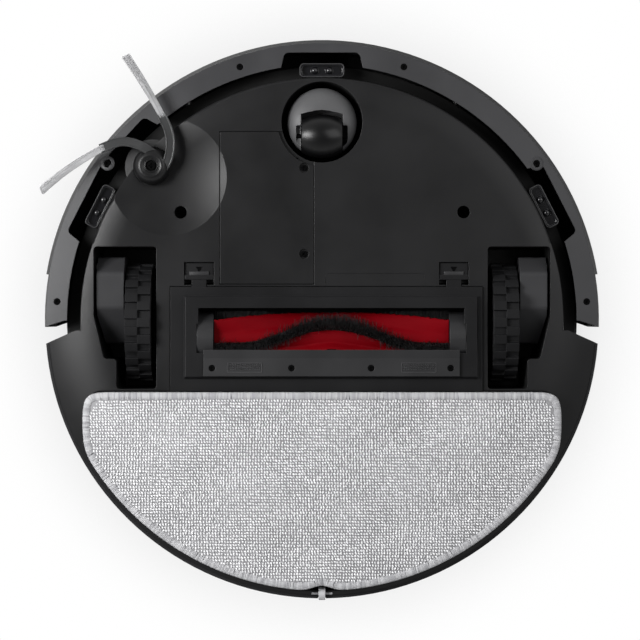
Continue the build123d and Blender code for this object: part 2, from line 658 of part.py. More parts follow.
    # Brush recess, throat, chamber, axle hole, pulley pocket and duct
    recess_x = (COVER_X[0] - GAP, COVER_X[1] + GAP)
    recess_y = (COVER_Y[0] - GAP, COVER_Y[1] + GAP)
    block(recess_x, recess_y, (-CHAMBER_RADIUS, COVER_TOP + SEAT), mode=Mode.SUBTRACT)
    bar(CHAMBER_X, BRUSH_Y, BRUSH_Z, CHAMBER_RADIUS, mode=Mode.SUBTRACT)
    block(CHAMBER_X, (BRUSH_Y - CHAMBER_RADIUS, BRUSH_Y + CHAMBER_RADIUS), (0, BRUSH_Z), mode=Mode.SUBTRACT)
    pocket_radius = BRUSH_PULLEY + BELT_WALL + 3 * GAP
    block((PULLEY_X[0] - PULLEY_POCKET, CHAMBER_X[0] - WALL), (BRUSH_Y - pocket_radius, BRUSH_Y + pocket_radius),
          (COVER_TOP, BRUSH_Z), mode=Mode.SUBTRACT)
    bar((PULLEY_X[0], CHAMBER_X[0] + WALL), BRUSH_Y, BRUSH_Z, BRUSH_AXLE + GAP, mode=Mode.SUBTRACT)
    duct_hole_x = (DUCT_X[0] + DUCT_WALL, DUCT_X[1] - DUCT_WALL)
    duct_hole_z = (DUCT_Z[0] + DUCT_WALL, DUCT_Z[1] - DUCT_WALL)
    block(duct_hole_x, (BRUSH_Y, DUCT_JOINT_Y + WALL), duct_hole_z, mode=Mode.SUBTRACT)
    # Caster socket and stem bush
    post(0, CASTER_Y, CASTER_SOCKET, (0, CASTER_ROOF_Z), mode=Mode.SUBTRACT)
    post(0, CASTER_Y, CASTER_STEM + RUN, (0, DECK_Z), mode=Mode.SUBTRACT)
    # Battery recess, opening and screw holes
    block((BATTERY_COVER_X[0] - GAP, BATTERY_COVER_X[1] + GAP),
          (BATTERY_COVER_Y[0] - GAP, BATTERY_COVER_Y[1] + GAP), (0, BATTERY_PLATE_Z + SEAT), mode=Mode.SUBTRACT)
    block((BATTERY_X[0] - BATTERY_LEDGE, BATTERY_X[1] + BATTERY_LEDGE),
          (BATTERY_Y[0] - BATTERY_LEDGE, BATTERY_Y[1] + BATTERY_LEDGE), (0, BATTERY_TOP), mode=Mode.SUBTRACT)
    for screw_y in BATTERY_SCREWS_Y:
        post(BATTERY_SCREW_X, screw_y, SCREW_SHANK + RUN, (PAN_Z, BATTERY_LEDGE_Z), mode=Mode.SUBTRACT)
    # Side brush dish and motor shaft hole
    with Locations((DISH_X, DISH_Y, PAN_Z + DISH_DEPTH - DISH_SPHERE)):
        Sphere(DISH_SPHERE, mode=Mode.SUBTRACT)
    post(HUB_X, HUB_Y, HUB_RADIUS + GAP, (0, HUB_Z[1] + 2 * GAP), mode=Mode.SUBTRACT)
    post(HUB_X, HUB_Y, HUB_SHAFT + GAP, (0, DECK_Z), mode=Mode.SUBTRACT)
    # Deep screw holes
    for name, side in SIDES:
        post(side * CASE_SCREW_X, CASE_SCREW_Y, CASE_SCREW_HOLE, (0, CASE_SCREW_DEPTH_Z), mode=Mode.SUBTRACT)
        post(side * CASE_SCREW_X, CASE_SCREW_Y, CASE_SCREW_SHANK + RUN, (0, CASE_SCREW_TOP), mode=Mode.SUBTRACT)
    # Mop bay and lift bushes
    with BuildSketch(Plane.XY):
        add(mop_plan(MOP_BAY_GAP))
    extrude(amount=BAY_CEILING, mode=Mode.SUBTRACT)
    for name, side in SIDES:
        post(side * STEM_X, STEM_Y, STEM_RADIUS + RUN, (0, STEM_TOP), mode=Mode.SUBTRACT)
    # Rear drawer window, roller slot and pin groove
    block((-TANK_WIDE_X - GAP, TANK_WIDE_X + GAP), (TANK_WIDE_Y, 2 * REAR_RADIUS),
          (TANK_Z[0] - GAP, TANK_Z[1] + GAP), mode=Mode.SUBTRACT)
    roller_half = ROLLER_WIDTH / 2 + GAP
    block((-roller_half, roller_half), (ROLLER_Y - ROLLER_RADIUS - GAP, ROLLER_Y + ROLLER_RADIUS + GAP),
          (0, ROLLER_Z + ROLLER_RADIUS + GAP), mode=Mode.SUBTRACT)
    bar((-ROLLER_PIN_HALF - SEAT, ROLLER_PIN_HALF + SEAT), ROLLER_Y, ROLLER_Z, ROLLER_PIN + RUN,
        mode=Mode.SUBTRACT)
    # Latch pockets, open to the cover's recess
    for latch_x in LATCH_CENTRES_X:
        pocket_half = LATCH_WIDTH / 2 + GAP
        block((latch_x - pocket_half, latch_x + pocket_half), LATCH_POCKET_Y, (0, PAN_Z + LATCH_DEPTH),
              mode=Mode.SUBTRACT)
        tongue_half = LATCH_TONGUE / 2 + GAP
        block((latch_x - tongue_half, latch_x + tongue_half), (LATCH_POCKET_Y[0], recess_y[0] + GAP),
              (0, COVER_TOP), mode=Mode.SUBTRACT)
    # Holes for the bumper guide pins
    for name, side in SIDES:
        rod(side * GUIDE_X, (-BUMPER_RADIUS, -GUIDE_X), GUIDE_Z, GUIDE_RADIUS + RUN, mode=Mode.SUBTRACT)
write(chassis, "chassis")

# Top deck with bores for the turret shaft and buttons, board posts and a motor pocket
with BuildPart() as top_deck:
    post(0, 0, DECK_RADIUS, (DECK_Z, DECK_TOP))
    fillet(top_deck.edges().group_by(Axis.Z)[-1], DECK_EDGE)
    post(0, 0, DECK_RADIUS - DECK_LIP, (DECK_Z, DECK_PLATE_Z), mode=Mode.SUBTRACT)
    board_post_z = (BOARD_Z + BOARD_THICKNESS, DECK_PLATE_Z)
    for post_x in (BOARD_X[0] + BOARD_INSET, BOARD_X[1] - BOARD_INSET):
        for post_y in (BOARD_Y[0] + BOARD_INSET, BOARD_Y[1] - BOARD_INSET):
            post(post_x, post_y, BOARD_POST, board_post_z)
    pocket_outer = LIDAR_MOTOR_RADIUS + SEAT + POCKET_WALL
    post(LIDAR_MOTOR_X, TURRET_Y, pocket_outer, (LIDAR_MOTOR_Z[0] + POCKET_WALL, DECK_PLATE_Z))
    post(LIDAR_MOTOR_X, TURRET_Y, LIDAR_MOTOR_RADIUS + SEAT, (0, DECK_PLATE_Z), mode=Mode.SUBTRACT)
    block((LIDAR_MOTOR_X - LIDAR_PULLEY - BELT_WALL, LIDAR_MOTOR_X + pocket_outer),
          (TURRET_Y - pocket_outer, TURRET_Y + pocket_outer), (LIDAR_MOTOR_Z[1], DECK_PLATE_Z), mode=Mode.SUBTRACT)
    post(0, TURRET_Y, ROTOR_SHAFT + RUN, (DECK_Z, DECK_TOP), mode=Mode.SUBTRACT)
    for button_x in (-BUTTON_X, BUTTON_X):
        post(button_x, BUTTON_Y, BUTTON_RADIUS + GAP, (DECK_Z, DECK_TOP), mode=Mode.SUBTRACT)
write(top_deck, "top_deck")

# Rear skirt: thin band round the rear with a top flange, open for the drawer
with BuildPart() as rear_skirt:
    with BuildSketch(Plane.XY.offset(SKIRT_Z)):
        add(rear_plan(REAR_RADIUS))
        with Locations((0, REAR_CENTRE_Y)):
            Circle(REAR_RADIUS - SKIRT_WALL, mode=Mode.SUBTRACT)
    extrude(amount=RIM_TOP - SKIRT_Z)
    with BuildSketch(Plane.XY.offset(DECK_Z)):
        add(rear_plan(REAR_RADIUS))
        Circle(DECK_RADIUS + 3 * SEAT, mode=Mode.SUBTRACT)
    extrude(amount=RIM_TOP - DECK_Z)
    fillet(rear_skirt.edges().group_by(Axis.Z)[-1].sort_by(SortBy.LENGTH)[-1], SKIRT_WALL)
    block((-TANK_PANEL_X - GAP, TANK_PANEL_X + GAP), (REAR_CENTRE_Y, 2 * REAR_RADIUS),
          (TANK_PANEL_Z[0] - GAP, TANK_PANEL_Z[1] + GAP), mode=Mode.SUBTRACT)
    for contact_x in (-CONTACT_X, CONTACT_X):
        block((contact_x - CONTACT_WIDTH / 2 - SEAT, contact_x + CONTACT_WIDTH / 2 + SEAT),
              (REAR_CENTRE_Y, 2 * REAR_RADIUS), (CONTACT_Z[0] - SEAT, CONTACT_Z[1] + SEAT), mode=Mode.SUBTRACT)
    slot_half = ROLLER_WIDTH / 2 + GAP
    block((-slot_half, slot_half), (REAR_CENTRE_Y, 2 * REAR_RADIUS), (0, ROLLER_Z + ROLLER_RADIUS + GAP),
          mode=Mode.SUBTRACT)
write(rear_skirt, "rear_skirt")

# Charging contacts let into the skirt
with BuildPart() as charge_contacts:
    for contact_x in (-CONTACT_X, CONTACT_X):
        with BuildSketch(Plane.XY.offset(CONTACT_Z[0])):
            with Locations((0, REAR_CENTRE_Y)):
                Circle(REAR_RADIUS - SEAT)
                Circle(REAR_RADIUS - SKIRT_WALL, mode=Mode.SUBTRACT)
            with Locations((contact_x, REAR_RADIUS)):
                Rectangle(CONTACT_WIDTH, REAR_RADIUS, mode=Mode.INTERSECT)
        extrude(amount=CONTACT_Z[1] - CONTACT_Z[0])
write(charge_contacts, "charge_contacts")

# Bumper: bevelled front band with a lower ring, an upper flange and guide blocks
with BuildPart() as bumper:
    wall_inner = BUMPER_RADIUS - BUMPER_WALL
    rim_inner = DECK_RADIUS + BUMPER_TRAVEL + 2 * GAP
    lip_inner = UPPER_RADIUS + BUMPER_TRAVEL + 2 * GAP
    lip_top = DECK_Z - GAP
    with BuildSketch(Plane.XZ):
        with BuildLine():
            Polyline((RING_INNER, RING_Z), (RING_OUTER, RING_Z), (BUMPER_RADIUS, RING_Z + RING_BEVEL),
                     (BUMPER_RADIUS, RIM_TOP), (rim_inner, RIM_TOP), (rim_inner, lip_top), (lip_inner, lip_top),
                     (lip_inner, lip_top - BUMPER_PLATE), (wall_inner, lip_top - BUMPER_PLATE),
                     (wall_inner, RING_Z + RING_BEVEL),
                     (RING_OUTER - BUMPER_PLATE, RING_Z + BUMPER_PLATE), (RING_INNER, RING_Z + BUMPER_PLATE),
                     close=True)
        make_face()
    revolve(axis=Axis.Z)
    fillet(bumper.edges().group_by(Axis.Z)[-1].sort_by(SortBy.RADIUS)[-1], BUMPER_WALL)
    for angle in RING_SCREW_ANGLES:
        screw_x, screw_y = polar(RING_SCREW_RADIUS, angle)
        post(screw_x, screw_y, RING_BOSS, (RING_Z + BUMPER_PLATE, RING_Z + 4 * BUMPER_PLATE))
    for name, side in SIDES:
        guide_x = side * GUIDE_X
        block((guide_x - GUIDE_BLOCK / 2, guide_x + GUIDE_BLOCK / 2), (GUIDE_BLOCK_FRONT, GUIDE_BLOCK_REAR),
              (GUIDE_Z - GUIDE_BLOCK / 2, GUIDE_Z + GUIDE_BLOCK / 2))
    # Side steps, slanted ends, ring lobes, screw holes, guide bores and window
    with BuildSketch(Plane.XY):
        Circle(2 * BUMPER_RADIUS)
        Circle(BUMPER_SIDE_RADIUS, mode=Mode.SUBTRACT)
        with Locations((0, BUMPER_STEP_Y)):
            Rectangle(4 * BUMPER_RADIUS, 4 * BUMPER_RADIUS, align=(Align.CENTER, Align.MIN), mode=Mode.INTERSECT)
    extrude(amount=DECK_TOP, mode=Mode.SUBTRACT)
    with BuildSketch(Plane.XY):
        reach = 2 * BUMPER_RADIUS
        far_y = BUMPER_END_Y + BUMPER_END_SLOPE * (reach - BUMPER_END_X)
        with BuildLine():
            Polyline((-reach, far_y), (-BUMPER_END_X, BUMPER_END_Y), (BUMPER_END_X, BUMPER_END_Y),
                     (reach, far_y), (reach, reach), (-reach, reach), close=True)
        make_face()
    extrude(amount=DECK_TOP, mode=Mode.SUBTRACT)
    lobes = [(angle - SENSOR_LOBE_HALF, angle + SENSOR_LOBE_HALF) for angle in SENSOR_ANGLES] + [BRUSH_LOBE]
    with BuildSketch(Plane.XY):
        for start, end in lobes:
            with BuildLine():
                lobe = FilletPolyline(polar(RING_INNER - WALL, start - LOBE_FLARE), polar(LOBE_RADIUS, start),
                                      polar(LOBE_RADIUS, end), polar(RING_INNER - WALL, end + LOBE_FLARE),
                                      radius=LOBE_ROUND)
                Line(lobe @ 1, lobe @ 0)
            make_face()
    extrude(amount=RING_Z + BUMPER_PLATE, mode=Mode.SUBTRACT)
    for angle in RING_SCREW_ANGLES:
        screw_x, screw_y = polar(RING_SCREW_RADIUS, angle)
        post(screw_x, screw_y, SCREW_HEAD + SEAT, (0, RING_Z + SCREW_HEAD_HEIGHT + 2 * SEAT), mode=Mode.SUBTRACT)
        post(screw_x, screw_y, SCREW_SHANK + RUN, (0, RING_Z + 3.5 * BUMPER_PLATE), mode=Mode.SUBTRACT)
    for name, side in SIDES:
        bore_y = -sqrt(wall_inner**2 - GUIDE_X**2)
        rod(side * GUIDE_X, (bore_y, -GUIDE_X), GUIDE_Z, GUIDE_RADIUS + RUN, mode=Mode.SUBTRACT)
    block((-WINDOW_HALF_WIDTH - SEAT, WINDOW_HALF_WIDTH + SEAT), (-2 * BUMPER_RADIUS, -UPPER_RADIUS),
          (WINDOW_Z[0] - SEAT, WINDOW_Z[1] + SEAT), mode=Mode.SUBTRACT)
write(bumper, "bumper")

# Screws of the bumper's lower ring
with BuildPart() as bumper_screws:
    for angle in RING_SCREW_ANGLES:
        screw_x, screw_y = polar(RING_SCREW_RADIUS, angle)
        small_screw(screw_x, screw_y, RING_Z + SEAT, 3 * BUMPER_PLATE)
write(bumper_screws, "bumper_screws")

# Dark window in the bumper's face
with BuildPart() as front_window:
    with BuildSketch(Plane.XY.offset(WINDOW_Z[0])):
        Circle(BUMPER_RADIUS - 2 * SEAT)
        Circle(BUMPER_RADIUS - 2 * SEAT - WINDOW_THICKNESS, mode=Mode.SUBTRACT)
        with Locations((0, -BUMPER_RADIUS)):
            Rectangle(2 * WINDOW_HALF_WIDTH, BUMPER_RADIUS, mode=Mode.INTERSECT)
    extrude(amount=WINDOW_Z[1] - WINDOW_Z[0])
write(front_window, "front_window")

# Pins that the bumper slides on
with BuildPart() as bumper_guides:
    wall_inner = BUMPER_RADIUS - BUMPER_WALL
    guide_tip = -sqrt(wall_inner**2 - GUIDE_X**2) + 2 * GAP
    guide_root = -sqrt((UPPER_RADIUS - WALL)**2 - GUIDE_X**2)
    for name, side in SIDES:
        rod(side * GUIDE_X, (guide_tip + BUMPER_TRAVEL, guide_root + 2 * WALL), GUIDE_Z, GUIDE_RADIUS)
        rod(side * GUIDE_X, (guide_root + 2 * WALL, guide_root + 3 * WALL), GUIDE_Z, GUIDE_HEAD)
write(bumper_guides, "bumper_guides")

# Switches behind the bumper
with BuildPart() as bumper_switches:
    switch_y = -sqrt(UPPER_RADIUS**2 - (SWITCH_X - SWITCH[0] / 2)**2) - SEAT
    for name, side in SIDES:
        block(span(side, (SWITCH_X - SWITCH[0] / 2, SWITCH_X + SWITCH[0] / 2)), (switch_y - SWITCH[1], switch_y),
              (GUIDE_Z - SWITCH[2] / 2, GUIDE_Z + SWITCH[2] / 2))
        rod(side * SWITCH_X, (switch_y - SWITCH[1] - SWITCH_STROKE, switch_y - SWITCH[1]), GUIDE_Z, SCREW_HEAD)
write(bumper_switches, "bumper_switches")

# Cliff sensors under the trench ceiling, each with a window recess and two lenses
with BuildPart() as cliff_sensors:
    for angle in SENSOR_ANGLES:
        sensor_x, sensor_y = polar(SENSOR_RADIUS, angle)
        with BuildSketch(Plane.XY.offset(SENSOR_Z)):
            with Locations(Location((sensor_x, sensor_y, 0), (0, 0, angle))):
                RectangleRounded(SENSOR_WIDTH, SENSOR_DEPTH, SENSOR_LENS)
        extrude(amount=TRENCH_CEILING - SEAT - SENSOR_Z)
        with BuildSketch(Plane.XY.offset(SENSOR_Z)):
            with Locations(Location((sensor_x, sensor_y, 0), (0, 0, angle))):
                RectangleRounded(SENSOR_WIDTH - WALL, SENSOR_DEPTH - WALL, SENSOR_LENS)
        extrude(amount=WALL, mode=Mode.SUBTRACT)
        for offset_x in (-SENSOR_LENS_STEP / 2, SENSOR_LENS_STEP / 2):
            lens_x = sensor_x + offset_x * cos(radians(angle))
            lens_y = sensor_y + offset_x * sin(radians(angle))
            with Locations((lens_x, lens_y, SENSOR_Z + WALL)):
                Sphere(SENSOR_LENS)
write(cliff_sensors, "cliff_sensors")

# Drive units: gearbox arm on a pivot, wheel hub with shaft, tyre and spring
for name, side in SIDES:
    with BuildPart() as drive_arm:
        arm_x = span(side, ARM_X)
        with BuildSketch(Plane.YZ.offset(arm_x[0])):
            with BuildLine():
                Polyline((ARM_FRONT_Y, PIVOT_Z - ARM_NOSE), (ARM_FRONT_Y + ARM_RAKE, ARM_LOW_Z),
                         (WHEEL_Y - ARM_TAIL, ARM_LOW_Z), (ARM_REAR_Y, PIVOT_Z), (ARM_REAR_Y, WHEEL_Z + ARM_TAIL),
                         (WHEEL_Y, ARM_TOP_Z), (ARM_FRONT_Y, ARM_TOP_Z), close=True)
            make_face()
        extrude(amount=arm_x[1] - arm_x[0])
        fillet(drive_arm.edges().filter_by(Axis.X), ARM_ROUND)
        # The outer side tapers with the well
        with BuildSketch(Plane.XY):
            with BuildLine():
                Polyline(*[(side * x, y) for x, y in ARM_PLAN], close=True)
            make_face()
        extrude(amount=DECK_Z, mode=Mode.INTERSECT)
        bar(span(side, (0, PAN_RADIUS)), PIVOT_Y, PIVOT_Z, PIVOT_RADIUS + RUN, mode=Mode.SUBTRACT)
        bar(span(side, (ARM_X[0], ARM_X[0] + SHAFT_LENGTH)), WHEEL_Y, WHEEL_Z, SHAFT_RADIUS + RUN,
            mode=Mode.SUBTRACT)
        post(side * sum(ARM_X) / 2, SPRING_Y, SPRING_POST, (PIVOT_Z + ARM_NOSE, ARM_TOP_Z + SPRING_POST_HEIGHT))
    write(drive_arm, f"{name}_drive_arm")

    tyre_inner = WHEEL_RADIUS - TREAD_DEPTH - TYRE_WALL
    with BuildPart() as wheel_hub:
        bar(span(side, TYRE_X), WHEEL_Y, WHEEL_Z, tyre_inner - SEAT)
        bar(span(side, (TYRE_X[0] - CUT, TYRE_X[1] - HUB_WEB)), WHEEL_Y, WHEEL_Z, tyre_inner - HUB_WEB,
            mode=Mode.SUBTRACT)
        bar(span(side, (TYRE_X[0] + HUB_INSET, TYRE_X[1])), WHEEL_Y, WHEEL_Z, 2 * SHAFT_RADIUS)
        bar(span(side, (TYRE_X[1], ARM_X[0] + SHAFT_LENGTH - GAP)), WHEEL_Y, WHEEL_Z, SHAFT_RADIUS)
        hub_centre = (side * sum(TYRE_X) / 2, WHEEL_Y, WHEEL_Z)
        for spoke in range(HUB_SPOKES):
            with Locations(Location(hub_centre, (360 * spoke / HUB_SPOKES, 0, 0))):
                with Locations((0, SHAFT_RADIUS, 0)):
                    Box(TYRE_X[1] - TYRE_X[0] - 2 * HUB_INSET, tyre_inner - SHAFT_RADIUS - HUB_INSET, HUB_WEB,
                        align=(Align.CENTER, Align.MIN, Align.CENTER))
    write(wheel_hub, f"{name}_wheel_hub")

    row_width = (TYRE_X[1] - TYRE_X[0]) / 2
    with BuildPart() as tyre:
        for row in (0, 1):
            row_x = side * (TYRE_X[0] + row * row_width)
            row_plane = Plane((row_x, WHEEL_Y, WHEEL_Z), x_dir=(0, 1, 0), z_dir=(side, 0, 0))
            with BuildSketch(row_plane):
                Circle(WHEEL_RADIUS - TREAD_DEPTH)
                first_block = row * 180 / TREAD_COUNT - 90
                with PolarLocations(WHEEL_RADIUS - TREAD_DEPTH, TREAD_COUNT, start_angle=first_block):
                    Rectangle(2 * TREAD_DEPTH, TREAD_BLOCK)
                Circle(WHEEL_RADIUS, mode=Mode.INTERSECT)
                Circle(tyre_inner, mode=Mode.SUBTRACT)
            extrude(amount=row_width)
    write(tyre, f"{name}_tyre")

    with BuildPart() as wheel_spring:
        with BuildLine(Plane((side * sum(ARM_X) / 2, SPRING_Y, ARM_TOP_Z + SPRING_WIRE + SEAT))) as coil:
            Helix(SPRING_LENGTH / SPRING_TURNS, SPRING_LENGTH, SPRING_RADIUS)
        with BuildSketch(Plane(coil.line @ 0, z_dir=coil.line % 0)):
            Circle(SPRING_WIRE)
        sweep()
    write(wheel_spring, f"{name}_wheel_spring")

# Pivot pins of the two drive arms
with BuildPart() as suspension_pins:
    for name, side in SIDES:
        bar(span(side, (ARM_X[0] + 2 * GAP, PIN_END_X)), PIVOT_Y, PIVOT_Z, PIVOT_RADIUS)
write(suspension_pins, "suspension_pins")

# Caster: domed fork on a stem, axle and barrel wheel
with BuildPart() as caster_fork:
    with Locations((0, CASTER_Y, CASTER_DOME_Z)):
        Sphere(CASTER_DOME)
    cheek_x = CASTER_WHEEL_WIDTH / 2 + GAP
    cheek_y = (CASTER_AXLE_Y + CASTER_CHEEK_Y[0], CASTER_AXLE_Y + CASTER_CHEEK_Y[1])
    for name, side in SIDES:
        block(span(side, (cheek_x, cheek_x + CASTER_CHEEK)), cheek_y,
              (CASTER_AXLE_Z - CASTER_CHEEK_DROP, CASTER_DOME_Z))
    bar((-cheek_x, cheek_x), CASTER_AXLE_Y, CASTER_AXLE_Z, CASTER_WHEEL_RADIUS + 3 * GAP, mode=Mode.SUBTRACT)
    block((-cheek_x, cheek_x), (CASTER_AXLE_Y, CASTER_AXLE_Y + 2 * CASTER_DOME),
          (0, CASTER_AXLE_Z + CASTER_WHEEL_RADIUS), mode=Mode.SUBTRACT)
    bar((-2 * cheek_x, 2 * cheek_x), CASTER_AXLE_Y, CASTER_AXLE_Z, CASTER_AXLE + RUN, mode=Mode.SUBTRACT)
    stem_z = (CASTER_DOME_Z + CASTER_DOME - CASTER_STEM_ROOT, CASTER_ROOF_Z + 2 * WALL)
    post(0, CASTER_Y, CASTER_STEM, stem_z)
write(caster_fork, "caster_fork")

with BuildPart() as caster_axle:
    axle_half = CASTER_WHEEL_WIDTH / 2 + GAP + CASTER_CHEEK
    bar((-axle_half, axle_half), CASTER_AXLE_Y, CASTER_AXLE_Z, CASTER_AXLE)
write(caster_axle, "caster_axle")

with BuildPart() as caster_wheel:
    with BuildSketch(Plane((0, CASTER_AXLE_Y, CASTER_AXLE_Z), x_dir=(1, 0, 0), z_dir=(0, -1, 0))):
        half = CASTER_WHEEL_WIDTH / 2
        with BuildLine():
            Line((-half, CASTER_AXLE + RUN), (-half, CASTER_WHEEL_EDGE))
            ThreePointArc((-half, CASTER_WHEEL_EDGE), (0, CASTER_WHEEL_RADIUS), (half, CASTER_WHEEL_EDGE))
            Line((half, CASTER_WHEEL_EDGE), (half, CASTER_AXLE + RUN))
            Line((half, CASTER_AXLE + RUN), (-half, CASTER_AXLE + RUN))
        make_face()
    revolve(axis=Axis((0, CASTER_AXLE_Y, CASTER_AXLE_Z), (1, 0, 0)))
write(caster_wheel, "caster_wheel")

# Side brush: hub with two curved rubber arms, tufts, screw and motor
with BuildPart() as side_brush:
    post(HUB_X, HUB_Y, HUB_RADIUS, HUB_Z)
    fillet(side_brush.edges().group_by(Axis.Z)[0], HUB_EDGE)
    with BuildSketch(Plane.XY.offset(SIDE_ARM_Z[0])):
        with BuildLine(mode=Mode.PRIVATE) as arm_line:
            Spline(*SIDE_ARM_ROUTE)
        trace(arm_line.line, line_width=SIDE_ARM_WIDTH)
        turned = arm_line.line.rotate(Axis((HUB_X, HUB_Y, 0), (0, 0, 1)), SIDE_ARM_TURN)
        trace(turned, line_width=SIDE_ARM_WIDTH)
    extrude(amount=SIDE_ARM_Z[1] - SIDE_ARM_Z[0])
    post(HUB_X, HUB_Y, HUB_SCREW_RECESS, (0, HUB_RECESS_TOP), mode=Mode.SUBTRACT)
    post(HUB_X, HUB_Y, HUB_SHAFT + RUN, (0, HUB_Z[1]), mode=Mode.SUBTRACT)
write(side_brush, "side_brush_hub")

tuft_root = Vector(*SIDE_ARM_ROUTE[-1], sum(SIDE_ARM_Z) / 2)
tuft_run = Vector(*TUFT_TIP, TUFT_TIP_Z) - tuft_root
tuft_across = Vector(0, 0, 1).cross(tuft_run).normalized()
tuft_up = tuft_run.cross(tuft_across).normalized()
tuft_clamp_end = tuft_root + tuft_run.normalized() * TUFT_CLAMP
tuft_strands = []
for row in range(TUFT_ROWS):
    for column in range(TUFT_COLUMNS):
        across = tuft_across * ((column - (TUFT_COLUMNS - 1) / 2) * TUFT_PITCH)
        upward = tuft_up * ((row - (TUFT_ROWS - 1) / 2) * TUFT_PITCH)
        reach = 1 - TUFT_UNEVEN * ((3 * column + 5 * row) % 4)
        end = tuft_root + tuft_run * reach + (across + upward) * TUFT_FAN
        tuft_strands.append(strand(tuft_clamp_end + across + upward - tuft_run.normalized(), end, TUFT_STRAND))
with BuildPart() as tufts:
    with BuildSketch(Plane(tuft_root + tuft_run.normalized() * GAP, x_dir=tuft_across, z_dir=tuft_run)):
        Rectangle(TUFT_COLUMNS * TUFT_PITCH + TUFT_CLAMP_EDGE, TUFT_ROWS * TUFT_PITCH + TUFT_CLAMP_EDGE)
    extrude(amount=TUFT_CLAMP)
    add(tuft_strands)
    second = tufts.part.rotate(Axis((HUB_X, HUB_Y, 0), (0, 0, 1)), SIDE_ARM_TURN)
    add(second)
write(tufts, "side_brush_tufts")

with BuildPart() as side_brush_screw:
    post(HUB_X, HUB_Y, SIDE_SCREW_HEAD, (SIDE_SCREW_LOW, HUB_RECESS_TOP - SEAT))
    post(HUB_X, HUB_Y, SCREW_SHANK, (SIDE_SCREW_LOW, SIDE_SCREW_TOP))
    with Locations((HUB_X, HUB_Y, SIDE_SCREW_LOW)):
        Box(SIDE_SCREW_SLOT[0], SIDE_SCREW_SLOT[1], 2 * SIDE_SCREW_SLOT[2], mode=Mode.SUBTRACT)
        Box(SIDE_SCREW_SLOT[1], SIDE_SCREW_SLOT[0], 2 * SIDE_SCREW_SLOT[2], mode=Mode.SUBTRACT)
write(side_brush_screw, "side_brush_screw")

with BuildPart() as side_brush_motor:
    motor_z = TRENCH_CEILING + WALL + SEAT
    post(HUB_X, HUB_Y, SIDE_MOTOR_RADIUS, (motor_z, motor_z + SIDE_MOTOR_HEIGHT))
    post(HUB_X, HUB_Y, HUB_SHAFT, (HUB_RECESS_TOP + 2 * SEAT, motor_z))
    post(HUB_X, HUB_Y, SCREW_SHANK + RUN, (0, SIDE_SCREW_TOP + CUT), mode=Mode.SUBTRACT)
write(side_brush_motor, "side_brush_motor")

# Main brush: twisted fins on a core with its axle, mirrored about the middle
brush_plane = Plane((BRUSH_MIDDLE, BRUSH_Y, BRUSH_Z), x_dir=(0, 1, 0), z_dir=(1, 0, 0))
brush_centre = (BRUSH_MIDDLE, BRUSH_Y, BRUSH_Z)
fin_angles = [
    BRUSH_APEX + strip * BRUSH_STEP + fin * BRUSH_STEP / (BRUSH_FINS_BETWEEN + 1)
    for strip in range(BRUSH_STRIPS)
    for fin in range(1, BRUSH_FINS_BETWEEN + 1)
]
with BuildSketch(brush_plane) as brush_section:
    Circle(BRUSH_CORE)
    for angle in fin_angles:
        with PolarLocations(BRUSH_CORE - BRUSH_FIN_ROOT, 1, start_angle=angle):
            Rectangle(BRUSH_FIN_RADIUS - BRUSH_CORE + BRUSH_FIN_ROOT, BRUSH_FIN_WALL,
                      align=(Align.MIN, Align.CENTER))
brush_half = Solid.extrude_linear_with_rotation(
    brush_section.sketch.face(), brush_centre, (BRUSH_HALF, 0, 0), BRUSH_TWIST)
with BuildPart() as main_brush:
    add(brush_half)
    mirror(about=Plane.YZ.offset(BRUSH_MIDDLE))
    bar(BRUSH_AXLE_X, BRUSH_Y, BRUSH_Z, BRUSH_AXLE)
write(main_brush, "main_brush")

# Bristle strips: three chevrons of strands on their backing strips
strip_inner = BRUSH_CORE + SEAT / 2
strip_strands = []
strip_halves = []
for strip in range(BRUSH_STRIPS):
    strip_angle = BRUSH_APEX + strip * BRUSH_STEP
    with BuildSketch(brush_plane) as strip_section:
        Circle(strip_inner + STRIP_HEIGHT)
        Circle(strip_inner, mode=Mode.SUBTRACT)
        with BuildLine():
            edges = [radians(strip_angle - STRIP_HALF_ANGLE), radians(strip_angle + STRIP_HALF_ANGLE)]
            outer = [(2 * BRUSH_CORE * cos(edge), 2 * BRUSH_CORE * sin(edge)) for edge in edges]
            Polyline((0, 0), *outer, close=True)
        make_face(mode=Mode.INTERSECT)
    strip_halves.append(Solid.extrude_linear_with_rotation(
        strip_section.sketch.face(), brush_centre, (BRUSH_HALF, 0, 0), BRUSH_TWIST))
    for count in range(STRIP_STRANDS):
        along = (count + 0.5) / STRIP_STRANDS
        lean = STRIP_HALF_ANGLE * STRIP_LEAN * (-1) ** count
        direction = radians(strip_angle + BRUSH_TWIST * along + lean)
        reach_x = BRUSH_MIDDLE + BRUSH_HALF * along
        ends = [
            (reach_x, BRUSH_Y + radius * cos(direction), BRUSH_Z + radius * sin(direction))
            for radius in (strip_inner + STRIP_HEIGHT / 2, BRUSH_TIP_RADIUS)
        ]
        strip_strands.append(strand(*ends, STRIP_STRAND))
with BuildPart() as brush_bristles:
    add(strip_halves + strip_strands)
    mirror(about=Plane.YZ.offset(BRUSH_MIDDLE))
write(brush_bristles, "main_brush_bristles")

with BuildPart() as brush_bearings:
    for bearing_x in ((CHAMBER_X[0] + SEAT, BRUSH_X[0] - GAP), (BRUSH_X[1] + GAP, CHAMBER_X[1] - SEAT)):
        bar(bearing_x, BRUSH_Y, BRUSH_Z, BEARING_RADIUS)
        bar(bearing_x, BRUSH_Y, BRUSH_Z, BRUSH_AXLE + RUN, mode=Mode.SUBTRACT)
write(brush_bearings, "brush_bearings")

